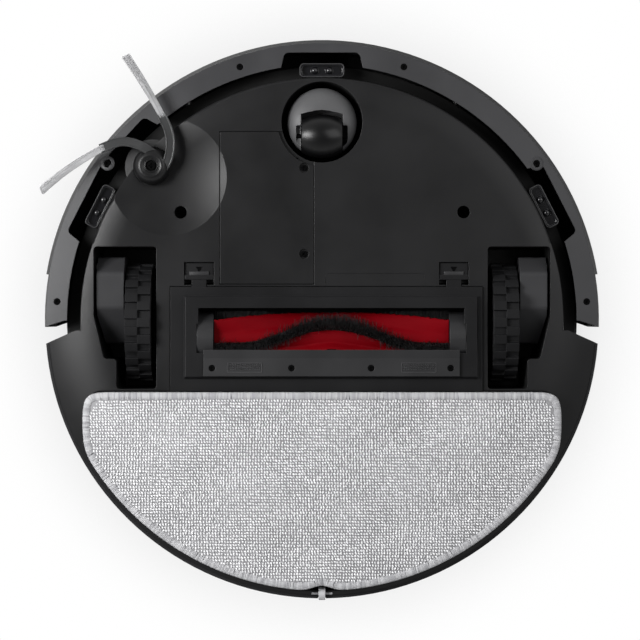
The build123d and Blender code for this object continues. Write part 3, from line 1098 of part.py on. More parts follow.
with BuildPart() as brush_pulley:
    bar(PULLEY_X, BRUSH_Y, BRUSH_Z, BRUSH_PULLEY + 1)
    belt_x = (sum(PULLEY_X) / 2 - BELT_WIDTH / 2 - GAP, sum(PULLEY_X) / 2 + BELT_WIDTH / 2 + GAP)
    with BuildSketch(Plane.YZ.offset(belt_x[0])):
        with Locations((BRUSH_Y, BRUSH_Z)):
            Circle(2 * BRUSH_PULLEY)
            Circle(BRUSH_PULLEY, mode=Mode.SUBTRACT)
    extrude(amount=belt_x[1] - belt_x[0], mode=Mode.SUBTRACT)
    bar(PULLEY_X, BRUSH_Y, BRUSH_Z, BRUSH_AXLE + RUN, mode=Mode.SUBTRACT)
write(brush_pulley, "brush_pulley")

with BuildPart() as motor_pulley:
    bar(PULLEY_X, BRUSH_Y, BRUSH_MOTOR_Z, MOTOR_PULLEY)
    bar(PULLEY_X, BRUSH_Y, BRUSH_MOTOR_Z, MOTOR_SHAFT + RUN, mode=Mode.SUBTRACT)
write(motor_pulley, "brush_motor_pulley")

with BuildPart() as brush_belt:
    belt_distance = BRUSH_MOTOR_Z - BRUSH_Z
    belt_start = (sum(PULLEY_X) / 2 - BELT_WIDTH / 2, BRUSH_Y, BRUSH_Z)
    with BuildSketch(Plane(belt_start, x_dir=(0, 1, 0), z_dir=(1, 0, 0))):
        add(belt_plan(BRUSH_PULLEY + GAP, MOTOR_PULLEY + GAP, belt_distance, BELT_WALL))
        add(belt_plan(BRUSH_PULLEY + GAP, MOTOR_PULLEY + GAP, belt_distance), mode=Mode.SUBTRACT)
    extrude(amount=BELT_WIDTH)
write(brush_belt, "brush_belt")

with BuildPart() as brush_motor:
    bar(BRUSH_MOTOR_X, BRUSH_Y, BRUSH_MOTOR_Z, BRUSH_MOTOR_RADIUS)
    bar((PULLEY_X[0], BRUSH_MOTOR_X[0]), BRUSH_Y, BRUSH_MOTOR_Z, MOTOR_SHAFT)
write(brush_motor, "brush_motor")

# Brush cover: framed plate with a raised middle, an open mouth and latch slots
with BuildPart() as brush_cover:
    block(COVER_X, COVER_Y, (COVER_Z, COVER_TOP))
    block(RAISED_X, RAISED_Y, (RAISED_Z, COVER_TOP))
    chamfer(brush_cover.faces().sort_by(Axis.Z)[0].edges(), RAISED_CHAMFER)
    block(MOUTH_X, MOUTH_Y, (0, COVER_TOP), mode=Mode.SUBTRACT)
    bar(CHAMBER_X, BRUSH_Y, BRUSH_Z, BRUSH_TIP_RADIUS + 2 * GAP, mode=Mode.SUBTRACT)
    block((COMB_X[0] - SEAT, COMB_X[1] + SEAT), (MOUTH_Y[1] - CUT, COMB_REAR_Y + SEAT), (0, COMB_SEAT_Z),
          mode=Mode.SUBTRACT)
    for latch_x in LATCH_CENTRES_X:
        slot_half = LATCH_TONGUE / 2 + GAP
        block((latch_x - slot_half, latch_x + slot_half),
              (COVER_Y[0] - CUT, LATCH_TONGUE_END_Y + LATCH_TRAVEL + GAP), (PAN_Z, COVER_TOP), mode=Mode.SUBTRACT)
    for screw_x in COMB_SCREWS_X:
        post(screw_x, COMB_SCREW_Y, SCREW_SHANK + RUN, (0, COVER_TOP - CUT), mode=Mode.SUBTRACT)
write(brush_cover, "brush_cover")

# Comb plate with a slanted front lip
with BuildPart() as brush_comb:
    with BuildSketch(Plane.YZ.offset(COMB_X[0])):
        with BuildLine():
            Polyline((COMB_LIP_Y[0], COMB_LIP_Z), (COMB_LIP_Y[1], COMB_Z), (COMB_REAR_Y, COMB_Z),
                     (COMB_REAR_Y, COMB_SEAT_Z - SEAT), (COMB_LIP_Y[1] - COMB_LIP, COMB_SEAT_Z - SEAT),
                     (COMB_LIP_Y[0], COMB_LIP_Z + COMB_LIP), close=True)
        make_face()
    extrude(amount=COMB_X[1] - COMB_X[0])
    bar(CHAMBER_X, BRUSH_Y, BRUSH_Z, BRUSH_TIP_RADIUS + 2 * GAP, mode=Mode.SUBTRACT)
    for screw_x in COMB_SCREWS_X:
        post(screw_x, COMB_SCREW_Y, SCREW_HEAD + SEAT, (0, COMB_Z + SCREW_HEAD_HEIGHT + SEAT), mode=Mode.SUBTRACT)
        post(screw_x, COMB_SCREW_Y, SCREW_SHANK + RUN, (0, COVER_TOP), mode=Mode.SUBTRACT)
write(brush_comb, "brush_comb")

with BuildPart() as comb_screws:
    for screw_x in COMB_SCREWS_X:
        small_screw(screw_x, COMB_SCREW_Y, COMB_Z + SEAT / 2, COVER_TOP - SCREW_TIP - COMB_Z)
write(comb_screws, "comb_screws")

# Latches that slide towards the cover to free it
for (name, side), latch_x in zip(SIDES, LATCH_CENTRES_X):
    with BuildPart() as latch:
        latch_span = (latch_x - LATCH_WIDTH / 2, latch_x + LATCH_WIDTH / 2)
        block(latch_span, LATCH_Y, LATCH_PLATE_Z)
        block(latch_span, LATCH_BAR_Y, (PAN_Z, LATCH_PLATE_Z[1]))
        tongue_span = (latch_x - LATCH_TONGUE / 2, latch_x + LATCH_TONGUE / 2)
        block(tongue_span, (LATCH_BAR_Y[0], LATCH_TONGUE_END_Y), (PAN_Z + GAP, COVER_TOP - GAP))
    write(latch, f"{name}_cover_latch")

# Battery cover with the caster's arc cut out of its corner, battery pack and screws
with BuildPart() as battery_cover:
    block(BATTERY_COVER_X, BATTERY_COVER_Y, (PAN_Z, BATTERY_PLATE_Z))
    post(0, CASTER_Y, CASTER_SOCKET + WELL_WALL + GAP, (0, DECK_Z), mode=Mode.SUBTRACT)
    with Locations((DISH_X, DISH_Y, PAN_Z + DISH_DEPTH - DISH_SPHERE)):
        Sphere(DISH_SPHERE, mode=Mode.SUBTRACT)
    for screw_y in BATTERY_SCREWS_Y:
        post(BATTERY_SCREW_X, screw_y, BATTERY_SCREW_RECESS, (0, PAN_Z + SCREW_HEAD_HEIGHT), mode=Mode.SUBTRACT)
        post(BATTERY_SCREW_X, screw_y, SCREW_SHANK + RUN, (0, BATTERY_PLATE_Z), mode=Mode.SUBTRACT)
write(battery_cover, "battery_cover")

with BuildPart() as battery_pack:
    block(BATTERY_X, BATTERY_Y, (BATTERY_PLATE_Z + SEAT, BATTERY_TOP))
    fillet(battery_pack.edges().filter_by(Axis.Y), BATTERY_ROUND)
write(battery_pack, "battery_pack")

with BuildPart() as underside_screws:
    for screw_y in BATTERY_SCREWS_Y:
        small_screw(BATTERY_SCREW_X, screw_y, PAN_Z, BATTERY_LEDGE_Z - SCREW_TIP - PAN_Z)
    for name, side in SIDES:
        head_z = (CASE_SCREW_DEPTH_Z - SEAT - CASE_SCREW_HEAD, CASE_SCREW_DEPTH_Z - SEAT)
        post(side * CASE_SCREW_X, CASE_SCREW_Y, CASE_SCREW_HOLE - GAP, head_z)
        post(side * CASE_SCREW_X, CASE_SCREW_Y, CASE_SCREW_SHANK, (head_z[1], CASE_SCREW_TOP - SCREW_TIP))
write(underside_screws, "underside_screws")

# Mop: plate with lift stems, woven pad, lift motor, rear roller and pin
plate_z = (MOP_PAD + SEAT, MOP_PAD + SEAT + MOP_PLATE)
with BuildPart() as mop_plate:
    with BuildSketch(Plane.XY.offset(plate_z[0])):
        add(mop_plan(-MOP_PLATE_INSET))
        with Locations((0, MOP_RADIUS)):
            Rectangle(2 * MOP_DIP_HALF, 4 * MOP_DIP, mode=Mode.SUBTRACT)
    extrude(amount=MOP_PLATE)
    for name, side in SIDES:
        post(side * STEM_X, STEM_Y, STEM_RADIUS, (plate_z[1], STEM_TOP))
        collar_z = STEM_BUSH_TOP + GAP
        post(side * STEM_X, STEM_Y, STEM_COLLAR, (collar_z, collar_z + STEM_COLLAR_HEIGHT))
write(mop_plate, "mop_plate")

with BuildPart() as mop_pad:
    with BuildSketch():
        add(mop_plan(0))
        dip_sagitta = MOP_DIP_HALF**2 / (2 * MOP_DIP)
        with Locations((0, MOP_RADIUS + dip_sagitta - MOP_DIP / 2)):
            Circle(dip_sagitta + MOP_DIP / 2, mode=Mode.SUBTRACT)
    extrude(amount=MOP_PAD)
    fillet(mop_pad.edges().group_by(Axis.Z)[0], MOP_PAD_EDGE)
write(mop_pad, "mop_pad")

with BuildPart() as mop_lift_motor:
    motor_low = BAY_TOP + SEAT
    motor_y = (LIFT_MOTOR_Y - LIFT_MOTOR[1] / 2, LIFT_MOTOR_Y + LIFT_MOTOR[1] / 2)
    block((STEM_X - LIFT_MOTOR[0] / 2, STEM_X + LIFT_MOTOR[0] / 2), motor_y,
          (motor_low, motor_low + LIFT_MOTOR[2]))
    rod(STEM_X, (STEM_Y + STEM_BUSH + GAP, motor_y[0]), motor_low + LIFT_MOTOR[2] / 2, SHAFT_RADIUS)
write(mop_lift_motor, "mop_lift_motor")

with BuildPart() as rear_roller:
    bar((-ROLLER_WIDTH / 2, ROLLER_WIDTH / 2), ROLLER_Y, ROLLER_Z, ROLLER_RADIUS)
    fillet(rear_roller.edges(), ROLLER_EDGE)
    bar((-ROLLER_WIDTH / 2, ROLLER_WIDTH / 2), ROLLER_Y, ROLLER_Z, ROLLER_PIN + RUN, mode=Mode.SUBTRACT)
write(rear_roller, "rear_roller")

with BuildPart() as rear_roller_pin:
    bar((-ROLLER_PIN_HALF, ROLLER_PIN_HALF), ROLLER_Y, ROLLER_Z, ROLLER_PIN)
write(rear_roller_pin, "rear_roller_pin")

# Dust box drawer: hollow box with an inlet, a filter port and a curved rear panel
with BuildPart() as dust_tank:
    with BuildSketch(Plane.XY.offset(TANK_Z[0])):
        with Locations((sum(TANK_X) / 2, TANK_FRONT_Y)):
            Rectangle(TANK_X[1] - TANK_X[0], REAR_RADIUS, align=(Align.CENTER, Align.MIN))
        with Locations((0, TANK_WIDE_Y)):
            Rectangle(2 * TANK_WIDE_X, REAR_RADIUS, align=(Align.CENTER, Align.MIN))
        with Locations((0, REAR_CENTRE_Y)):
            Circle(REAR_RADIUS - WALL, mode=Mode.INTERSECT)
    extrude(amount=TANK_Z[1] - TANK_Z[0])
    with BuildSketch(Plane.XY.offset(TANK_PANEL_Z[0])):
        with Locations((0, REAR_CENTRE_Y)):
            Circle(REAR_RADIUS)
            Circle(CHASSIS_REAR + GAP, mode=Mode.SUBTRACT)
        with Locations((0, REAR_RADIUS)):
            Rectangle(2 * TANK_PANEL_X, REAR_RADIUS, mode=Mode.INTERSECT)
    extrude(amount=TANK_PANEL_Z[1] - TANK_PANEL_Z[0])
    with BuildSketch(Plane.XY.offset(TANK_Z[0])):
        with Locations((0, TANK_WIDE_Y + WALL)):
            Rectangle(2 * TANK_WIDE_X, REAR_RADIUS, align=(Align.CENTER, Align.MIN))
        with Locations((0, REAR_CENTRE_Y)):
            Circle(REAR_RADIUS - SKIRT_WALL / 2, mode=Mode.INTERSECT)
            Circle(REAR_RADIUS - 2 * WALL, mode=Mode.SUBTRACT)
    extrude(amount=TANK_Z[1] - TANK_Z[0])
    # Inside of the box, its inlet, the filter port and the button hole
    block((TANK_X[0] + TANK_WALL, TANK_X[1] - TANK_WALL), (TANK_FRONT_Y + TANK_WALL, TANK_INSIDE_Y),
          (TANK_Z[0] + TANK_WALL, TANK_Z[1] - TANK_WALL), mode=Mode.SUBTRACT)
    block(duct_hole_x, (TANK_FRONT_Y - CUT, TANK_FRONT_Y + TANK_WALL + CUT), duct_hole_z, mode=Mode.SUBTRACT)
    block((TANK_X[1] - TANK_WALL - CUT, TANK_X[1] + CUT), FILTER_Y, FILTER_Z, mode=Mode.SUBTRACT)
    rod(0, (REAR_RADIUS - TANK_BUTTON_DEPTH, REAR_RADIUS + 2 * WALL), TANK_BUTTON_Z, TANK_BUTTON + GAP,
        mode=Mode.SUBTRACT)
write(dust_tank, "dust_tank")

with BuildPart() as tank_filter:
    block((TANK_X[1] - TANK_WALL, TANK_X[1]), (FILTER_Y[0] + SEAT, FILTER_Y[1] - SEAT),
          (FILTER_Z[0] + SEAT, FILTER_Z[1] - SEAT))
write(tank_filter, "tank_filter")

with BuildPart() as tank_button:
    button_y = (REAR_RADIUS - TANK_BUTTON_DEPTH + TANK_BUTTON_GAP, REAR_RADIUS + REAR_CENTRE_Y - GAP)
    rod(0, button_y, TANK_BUTTON_Z, TANK_BUTTON)
    fillet(tank_button.edges().sort_by(Axis.Y)[-1], TANK_BUTTON_EDGE)
write(tank_button, "tank_button")

# Suction duct from the brush chamber to the drawer
with BuildPart() as suction_duct:
    duct_y = (DUCT_JOINT_Y + SEAT, TANK_FRONT_Y - GAP)
    block(DUCT_X, duct_y, DUCT_Z)
    foot_x = sum(DUCT_X) / 2
    block((foot_x - DUCT_FOOT / 2, foot_x + DUCT_FOOT / 2), (duct_y[1] - DUCT_FOOT, duct_y[1] - GAP),
          (BAY_TOP + SEAT, DUCT_Z[0]))
    block(duct_hole_x, (duct_y[0] - CUT, duct_y[1] + CUT), duct_hole_z, mode=Mode.SUBTRACT)
write(suction_duct, "suction_duct")

# Fan beside the drawer
with BuildPart() as fan_housing:
    bar(FAN_X, FAN_Y, FAN_Z, FAN_RADIUS)
    bar((TANK_X[1] + GAP, FAN_X[0]), FAN_Y, FAN_Z, FAN_INLET + TANK_WALL)
    block(FAN_FOOT_X, (FAN_Y - FAN_FOOT / 2, FAN_Y + FAN_FOOT / 2), (BAY_TOP + SEAT, FAN_Z))
    bar((FAN_X[0] + TANK_WALL, FAN_ROTOR_X[1] + TANK_WALL), FAN_Y, FAN_Z, FAN_RADIUS - TANK_WALL,
        mode=Mode.SUBTRACT)
    bar((TANK_X[1], FAN_X[0] + TANK_WALL), FAN_Y, FAN_Z, FAN_INLET, mode=Mode.SUBTRACT)
    rod(sum(FAN_ROTOR_X) / 2, (FAN_Y, FAN_Y + FAN_RADIUS + CUT), FAN_OUTLET_Z, FAN_OUTLET, mode=Mode.SUBTRACT)
    bar((FAN_ROTOR_X[0], FAN_ROTOR_X[1] + FAN_BEARING), FAN_Y, FAN_Z, FAN_SHAFT)
write(fan_housing, "fan_housing")

with BuildPart() as fan_impeller:
    bar((FAN_ROTOR_X[1] - FAN_DISC, FAN_ROTOR_X[1]), FAN_Y, FAN_Z, FAN_ROTOR)
    bar(FAN_ROTOR_X, FAN_Y, FAN_Z, 2 * FAN_SHAFT)
    with BuildSketch(Plane((FAN_ROTOR_X[0], FAN_Y, FAN_Z), x_dir=(0, 1, 0), z_dir=(1, 0, 0))):
        with PolarLocations(FAN_BLADE_RADIUS, FAN_BLADES):
            Rectangle(*FAN_BLADE, rotation=FAN_BLADE_TILT)
        Circle(FAN_ROTOR, mode=Mode.INTERSECT)
    extrude(amount=FAN_ROTOR_X[1] - FAN_ROTOR_X[0] - FAN_DISC / 2)
    bar(FAN_ROTOR_X, FAN_Y, FAN_Z, FAN_SHAFT + RUN, mode=Mode.SUBTRACT)
write(fan_impeller, "fan_impeller")

# Main board under the deck posts
with BuildPart() as main_board:
    block(BOARD_X, BOARD_Y, (BOARD_Z, BOARD_Z + BOARD_THICKNESS - SEAT))
    for chip_x, chip_y, chip_height in BOARD_CHIPS:
        block(chip_x, chip_y, (BOARD_Z - chip_height, BOARD_Z))
write(main_board, "main_board")

# Laser turret: housing on posts, rotor with its pulley, motor, pulley and belt
with BuildPart() as turret_housing:
    ring_z = (DECK_TOP + SEAT, DECK_TOP + TURRET_RING_HEIGHT)
    post(0, TURRET_Y, TURRET_RADIUS, ring_z)
    post(0, TURRET_Y, TURRET_RADIUS - TURRET_RING, ring_z, mode=Mode.SUBTRACT)
    with BuildSketch(Plane.XY.offset(ring_z[1])):
        with Locations((0, TURRET_Y)):
            with PolarLocations(TURRET_RADIUS - TURRET_RING / 2, TURRET_POSTS, start_angle=90):
                Rectangle(*TURRET_POST)
    extrude(amount=TURRET_TOP - TURRET_LID - ring_z[1])
    post(0, TURRET_Y, TURRET_RADIUS, (TURRET_TOP - TURRET_LID, TURRET_TOP))
    fillet(turret_housing.edges().group_by(Axis.Z)[-1], TURRET_EDGE)
write(turret_housing, "turret_housing")

rotor_z = DECK_TOP + TURRET_RING_HEIGHT + GAP
with BuildPart() as lidar_rotor:
    post(0, TURRET_Y, ROTOR_RADIUS, (rotor_z, rotor_z + ROTOR_HEIGHT))
    fillet(lidar_rotor.edges().group_by(Axis.Z)[-1], ROTOR_EDGE)
    window_y = (TURRET_Y - ROTOR_RADIUS, TURRET_Y - ROTOR_RADIUS + ROTOR_WINDOW)
    block((-ROTOR_RADIUS, ROTOR_RADIUS), window_y, (rotor_z + ROTOR_SILL, rotor_z + ROTOR_HEIGHT + CUT),
          mode=Mode.SUBTRACT)
    post(0, TURRET_Y, ROTOR_SHAFT, (ROTOR_PULLEY_Z[0], rotor_z))
    post(0, TURRET_Y, ROTOR_PULLEY, ROTOR_PULLEY_Z)
write(lidar_rotor, "lidar_rotor")

with BuildPart() as lidar_motor:
    post(LIDAR_MOTOR_X, TURRET_Y, LIDAR_MOTOR_RADIUS, LIDAR_MOTOR_Z)
    post(LIDAR_MOTOR_X, TURRET_Y, LIDAR_SHAFT, (LIDAR_MOTOR_Z[1], ROTOR_PULLEY_Z[1]))
write(lidar_motor, "lidar_motor")

with BuildPart() as lidar_pulley:
    post(LIDAR_MOTOR_X, TURRET_Y, LIDAR_PULLEY, ROTOR_PULLEY_Z)
    post(LIDAR_MOTOR_X, TURRET_Y, LIDAR_SHAFT + RUN, ROTOR_PULLEY_Z, mode=Mode.SUBTRACT)
write(lidar_pulley, "lidar_motor_pulley")

with BuildPart() as lidar_belt:
    lidar_plane = Plane((0, TURRET_Y, ROTOR_PULLEY_Z[0] + GAP), x_dir=(0, 1, 0), z_dir=(0, 0, 1))
    with BuildSketch(lidar_plane):
        add(belt_plan(ROTOR_PULLEY + GAP, LIDAR_PULLEY + GAP, -LIDAR_MOTOR_X, BELT_WALL))
        add(belt_plan(ROTOR_PULLEY + GAP, LIDAR_PULLEY + GAP, -LIDAR_MOTOR_X), mode=Mode.SUBTRACT)
    extrude(amount=ROTOR_PULLEY_Z[1] - ROTOR_PULLEY_Z[0] - 2 * GAP)
write(lidar_belt, "lidar_belt")

# Two round buttons in the deck, held by a flange under it
for name, button_x in (("power", -BUTTON_X), ("home", BUTTON_X)):
    with BuildPart() as button:
        button_top = DECK_TOP + BUTTON_PROUD
        post(button_x, BUTTON_Y, BUTTON_RADIUS, (button_top - BUTTON_HEIGHT, button_top))
        fillet(button.edges().group_by(Axis.Z)[-1], BUTTON_EDGE)
        post(button_x, BUTTON_Y, BUTTON_RADIUS + BUTTON_FLANGE, (button_top - BUTTON_HEIGHT, DECK_PLATE_Z - GAP))
    write(button, f"{name}_button")
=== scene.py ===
"""Looks of a robot vacuum seen from below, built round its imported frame."""
import logging
import math
import random
from dataclasses import dataclass
from enum import Enum
from typing import Callable, Sequence

import bmesh
import bpy
import numpy as np
from mathutils import Matrix, Vector


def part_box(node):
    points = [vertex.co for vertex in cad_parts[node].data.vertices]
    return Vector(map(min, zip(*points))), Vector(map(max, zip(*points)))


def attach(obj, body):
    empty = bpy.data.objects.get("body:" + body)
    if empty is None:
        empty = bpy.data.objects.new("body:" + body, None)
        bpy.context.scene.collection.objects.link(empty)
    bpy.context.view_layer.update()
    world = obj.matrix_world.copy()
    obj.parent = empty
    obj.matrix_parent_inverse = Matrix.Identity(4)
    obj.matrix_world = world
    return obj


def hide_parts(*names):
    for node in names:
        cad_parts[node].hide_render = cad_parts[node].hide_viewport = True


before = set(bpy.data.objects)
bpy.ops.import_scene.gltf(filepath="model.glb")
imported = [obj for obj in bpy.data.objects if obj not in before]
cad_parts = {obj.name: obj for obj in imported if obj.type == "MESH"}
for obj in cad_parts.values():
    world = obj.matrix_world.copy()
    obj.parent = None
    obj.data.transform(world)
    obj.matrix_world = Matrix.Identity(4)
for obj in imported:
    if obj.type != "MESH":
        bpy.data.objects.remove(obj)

LOG = logging.getLogger("robot_vacuum")
MM = 0.001
MERGE = 0.001 * MM
FACING = 0.9
SEED = 7
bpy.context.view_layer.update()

Colour = tuple[float, float, float]
Piece = bpy.types.Object


class Body(Enum):
    """Bodies of the frame that the new pieces ride on."""

    CHASSIS = "chassis"
    BUMPER = "bumper"
    CASTER = "caster"
    SIDE_BRUSH = "side_brush"
    MAIN_BRUSH = "main_brush"
    BRUSH_COVER = "brush_cover"
    LEFT_LATCH = "left_latch"
    RIGHT_LATCH = "right_latch"
    MOP = "mop"
    DUST_TANK = "dust_tank"
    POWER_BUTTON = "power_button"
    HOME_BUTTON = "home_button"


class Slot(Enum):
    """Material slots of the record, passed along with the new pieces."""

    SHELL = "shell_black"
    RING = "bumper_grey"
    TURRET = "turret_plastic"
    ROTOR = "rotor_plastic"
    BUTTON = "button_plastic"
    CASTER = "caster_grey"
    SMOKE = "smoke_rubber"
    PALE_BRISTLE = "pale_bristle"
    RED = "red_rubber"
    BLACK_BRISTLE = "black_bristle"
    COVER = "cover_black"
    COMB = "comb_black"
    SKIRT = "skirt_black"
    SCREW = "screw_black"
    MOP = "mop_fabric"


def polar(radius: float, angle: float) -> Vector:
    """Point on the plan, its angle in degrees from the front towards the right."""
    return Vector((radius * math.sin(math.radians(angle)), -radius * math.cos(math.radians(angle)), 0.0))


def sideways(along: Vector) -> Vector:
    """Direction on the plan a quarter turn from another."""
    return Vector((-along.y, along.x, 0.0))


class Bench:
    """Modelling moves that the pieces share."""

    @staticmethod
    def clear() -> None:
        """Leaves edit mode and deselects everything."""
        if bpy.context.object and bpy.context.object.mode != "OBJECT":
            bpy.ops.object.mode_set(mode="OBJECT")
        bpy.ops.object.select_all(action="DESELECT")

    @staticmethod
    def named(name: str) -> Piece:
        """Names the primitive that was just added and puts its place into its mesh.

        Args:
            name: The piece's name.

        Returns:
            The piece.
        """
        piece = bpy.context.object
        piece.name = piece.data.name = name
        bpy.ops.object.transform_apply(location=True, rotation=True, scale=True)
        return piece

    @staticmethod
    def edit(piece: Piece) -> None:
        """Opens one piece in edit mode with all of it selected.

        Args:
            piece: The piece to open.
        """
        Bench.clear()
        piece.select_set(True)
        bpy.context.view_layer.objects.active = piece
        bpy.ops.object.mode_set(mode="EDIT")
        bpy.ops.mesh.select_mode(type="FACE")
        bpy.ops.mesh.select_all(action="SELECT")

    @staticmethod
    def pick(piece: Piece, test: Callable[[Vector, Vector], bool]) -> None:
        """Selects the faces that a test of centre and normal takes.

        Args:
            piece: The piece that is open in edit mode.
            test: Takes a face's centre and normal.
        """
        mesh = bmesh.from_edit_mesh(piece.data)
        for face in mesh.faces:
            face.select_set(False)
        for face in mesh.faces:
            if test(face.calc_center_median(), face.normal):
                face.select_set(True)
        bmesh.update_edit_mesh(piece.data)

    @staticmethod
    def faces_down(_: Vector, normal: Vector) -> bool:
        """Test for pick: whether a face looks down."""
        return normal.z < -FACING

    @staticmethod
    def faces_up(_: Vector, normal: Vector) -> bool:
        """Test for pick: whether a face looks up."""
        return normal.z > FACING

    @staticmethod
    def move(x: float = 0.0, y: float = 0.0, z: float = 0.0) -> None:
        """Moves what is selected in edit mode."""
        bpy.ops.transform.translate(value=(x, y, z))

    @staticmethod
    def extrude(x: float = 0.0, y: float = 0.0, z: float = 0.0) -> None:
        """Extrudes what is selected in edit mode."""
        bpy.ops.mesh.extrude_region_move(TRANSFORM_OT_translate={"value": (x, y, z)})

    @staticmethod
    def close(piece: Piece, smooth: float = 35.0) -> Piece:
        """Merges doubles, turns the faces outwards and shades a piece.

        Args:
            piece: The piece to finish.
            smooth: Largest angle in degrees that is shaded smooth.

        Returns:
            The same piece, in object mode.
        """
        Bench.edit(piece)
        bpy.ops.mesh.remove_doubles(threshold=MERGE)
        bpy.ops.mesh.normals_make_consistent(inside=False)
        bpy.ops.object.mode_set(mode="OBJECT")
        bpy.ops.object.shade_smooth_by_angle(angle=math.radians(smooth))
        return piece

    @staticmethod
    def lay(piece: Piece, old: Sequence[Vector], new: Sequence[Vector]) -> None:
        """Moves each selected vertex from its point in one ring to the same point in another.

        Args:
            piece: The piece that is open in edit mode.
            old: The ring's points now.
            new: Where they go.
        """
        mesh = bmesh.from_edit_mesh(piece.data)
        for vertex in (vertex for vertex in mesh.verts if vertex.select):
            nearest = min(range(len(old)), key=lambda index: (old[index] - vertex.co).length_squared)
            vertex.co = new[nearest]
        bmesh.update_edit_mesh(piece.data)

    @staticmethod
    def sweep(name: str, rings: Sequence[Sequence[Vector]], smooth: float = 35.0) -> Piece:
        """Extrudes a closed outline step by step along its rings.

        Args:
            name: The new piece's name.
            rings: The outline's points at each step.
            smooth: Largest angle in degrees that is shaded smooth.

        Returns:
            The closed piece.
        """
        Bench.clear()
        bpy.ops.mesh.primitive_circle_add(vertices=len(rings[0]), radius=MM, fill_type="NGON")
        piece = Bench.named(name)
        start = [vertex.co.copy() for vertex in piece.data.vertices]
        Bench.edit(piece)
        Bench.lay(piece, start, rings[0])
        for old, new in zip(rings, rings[1:]):
            Bench.extrude()
            Bench.lay(piece, old, new)
        return Bench.close(piece, smooth)

    @staticmethod
    def turned(name: str, centre: Vector, profile: Sequence[tuple[float, float]], steps: int = 56) -> Piece:
        """Spins a profile round an upright axis.

        Args:
            name: The new piece's name.
            centre: A point of the axis on the floor.
            profile: Radius and height pairs in millimetres, from axis to axis.
            steps: Number of steps in the turn.

        Returns:
            The closed piece.
        """
        Bench.clear()
        bpy.ops.mesh.primitive_plane_add(size=MM)
        piece = Bench.named(name)
        Bench.edit(piece)
        bpy.ops.mesh.merge(type="CENTER")
        bpy.ops.mesh.select_mode(type="VERT")
        bpy.ops.mesh.select_all(action="SELECT")
        Bench.move(centre.x + profile[0][0] * MM, centre.y, profile[0][1] * MM)
        for (radius, height), (next_radius, next_height) in zip(profile, profile[1:]):
            step = ((next_radius - radius) * MM, 0.0, (next_height - height) * MM)
            bpy.ops.mesh.extrude_vertices_move(TRANSFORM_OT_translate={"value": step})
        bpy.ops.mesh.select_all(action="SELECT")
        bpy.ops.mesh.spin(steps=steps, angle=2 * math.pi, center=centre, axis=(0, 0, 1))
        return Bench.close(piece)

    @staticmethod
    def framed(name: str, width: float, depth: float, corner: float, rim: float, height: float) -> Piece:
        """Makes a flat rounded frame on the floor, round the origin.

        Args:
            name: The new piece's name.
            width: Outer size along X.
            depth: Outer size along Y.
            corner: Outer corner radius.
            rim: Width of the rim.
            height: Thickness, upwards.

        Returns:
            The closed frame.
        """
        Bench.clear()
        bpy.ops.mesh.primitive_plane_add(size=1.0)
        bpy.context.object.scale = (width, depth, 1.0)
        piece = Bench.named(name)
        Bench.edit(piece)
        bpy.ops.mesh.bevel(offset=corner, offset_type="OFFSET", segments=6, affect="VERTICES")
        bpy.ops.mesh.select_all(action="SELECT")
        bpy.ops.mesh.inset(thickness=rim)
        bpy.ops.mesh.delete(type="FACE")
        bpy.ops.mesh.select_all(action="SELECT")
        Bench.extrude(z=height)
        return Bench.close(piece)

    @staticmethod
    def block(name: str, centre: Sequence[float], size: Sequence[float], bevel: float, steps: int) -> Piece:
        """Makes a block with rounded edges.

        Args:
            name: The new piece's name.
            centre: Where its middle lies.
            size: Its three sides.
            bevel: Width of the rounded edges.
            steps: Number of steps in each rounded edge.

        Returns:
            The closed block.
        """
        Bench.clear()
        bpy.ops.mesh.primitive_cube_add(size=1.0, location=centre)
        bpy.context.object.scale = size
        piece = Bench.named(name)
        Bench.edit(piece)
        bpy.ops.mesh.bevel(offset=bevel, segments=steps, affect="EDGES")
        return Bench.close(piece)

    @staticmethod
    def copies(name: str, template: Piece, places: Sequence[Matrix], tones: Sequence[float] | None = None,
               bends: Sequence[Vector] | None = None, smooth: float = 40.0) -> Piece:
        """Copies one modelled shape to many places as one mesh, and removes the template.

        Args:
            name: The new piece's name.
            template: The shape, modelled round the origin.
            places: Where each copy goes.
            tones: A value from 0 to 1 for each copy, kept as the attribute "tone".
            bends: A shift for each copy that grows with the square of the template's height.
            smooth: Largest angle in degrees that is shaded smooth.

        Returns:
            The piece that holds all the copies.
        """
        shape = np.array([vertex.co for vertex in template.data.vertices])
        faces = [tuple(face.vertices) for face in template.data.polygons]
        turns = np.array([place.to_3x3() for place in places])
        shifts = np.array([place.translation for place in places])
        points = np.einsum("cij,vj->cvi", turns, shape) + shifts[:, None, :]
        if bends is not None:
            points += np.array(bends)[:, None, :] * (shape[:, 2] ** 2)[None, :, None]
        size = len(shape)
        copied = [tuple(index + copy * size for index in face)
                  for copy in range(len(places)) for face in faces]
        mesh = bpy.data.meshes.new(name)
        mesh.from_pydata(points.reshape(-1, 3).tolist(), [], copied)
        values = np.repeat(np.full(len(places), 0.5) if tones is None else np.array(tones), size)
        mesh.attributes.new("tone", "FLOAT", "POINT").data.foreach_set("value", values.astype(np.float32))
        piece = bpy.data.objects.new(name, mesh)
        bpy.context.collection.objects.link(piece)
        bpy.data.objects.remove(template)
        Bench.clear()
        piece.select_set(True)
        bpy.context.view_layer.objects.active = piece
        bpy.ops.object.shade_smooth_by_angle(angle=math.radians(smooth))
        return piece

    @staticmethod
    def joined(name: str, pieces: Sequence[Piece]) -> Piece:
        """Joins finished pieces of one body into one.

        Args:
            name: The new piece's name.
            pieces: The pieces to join.

        Returns:
            The joined piece.
        """
        Bench.clear()
        for piece in pieces:
            piece.select_set(True)
        bpy.context.view_layer.objects.active = pieces[0]
        bpy.ops.object.join()
        return Bench.named(name)

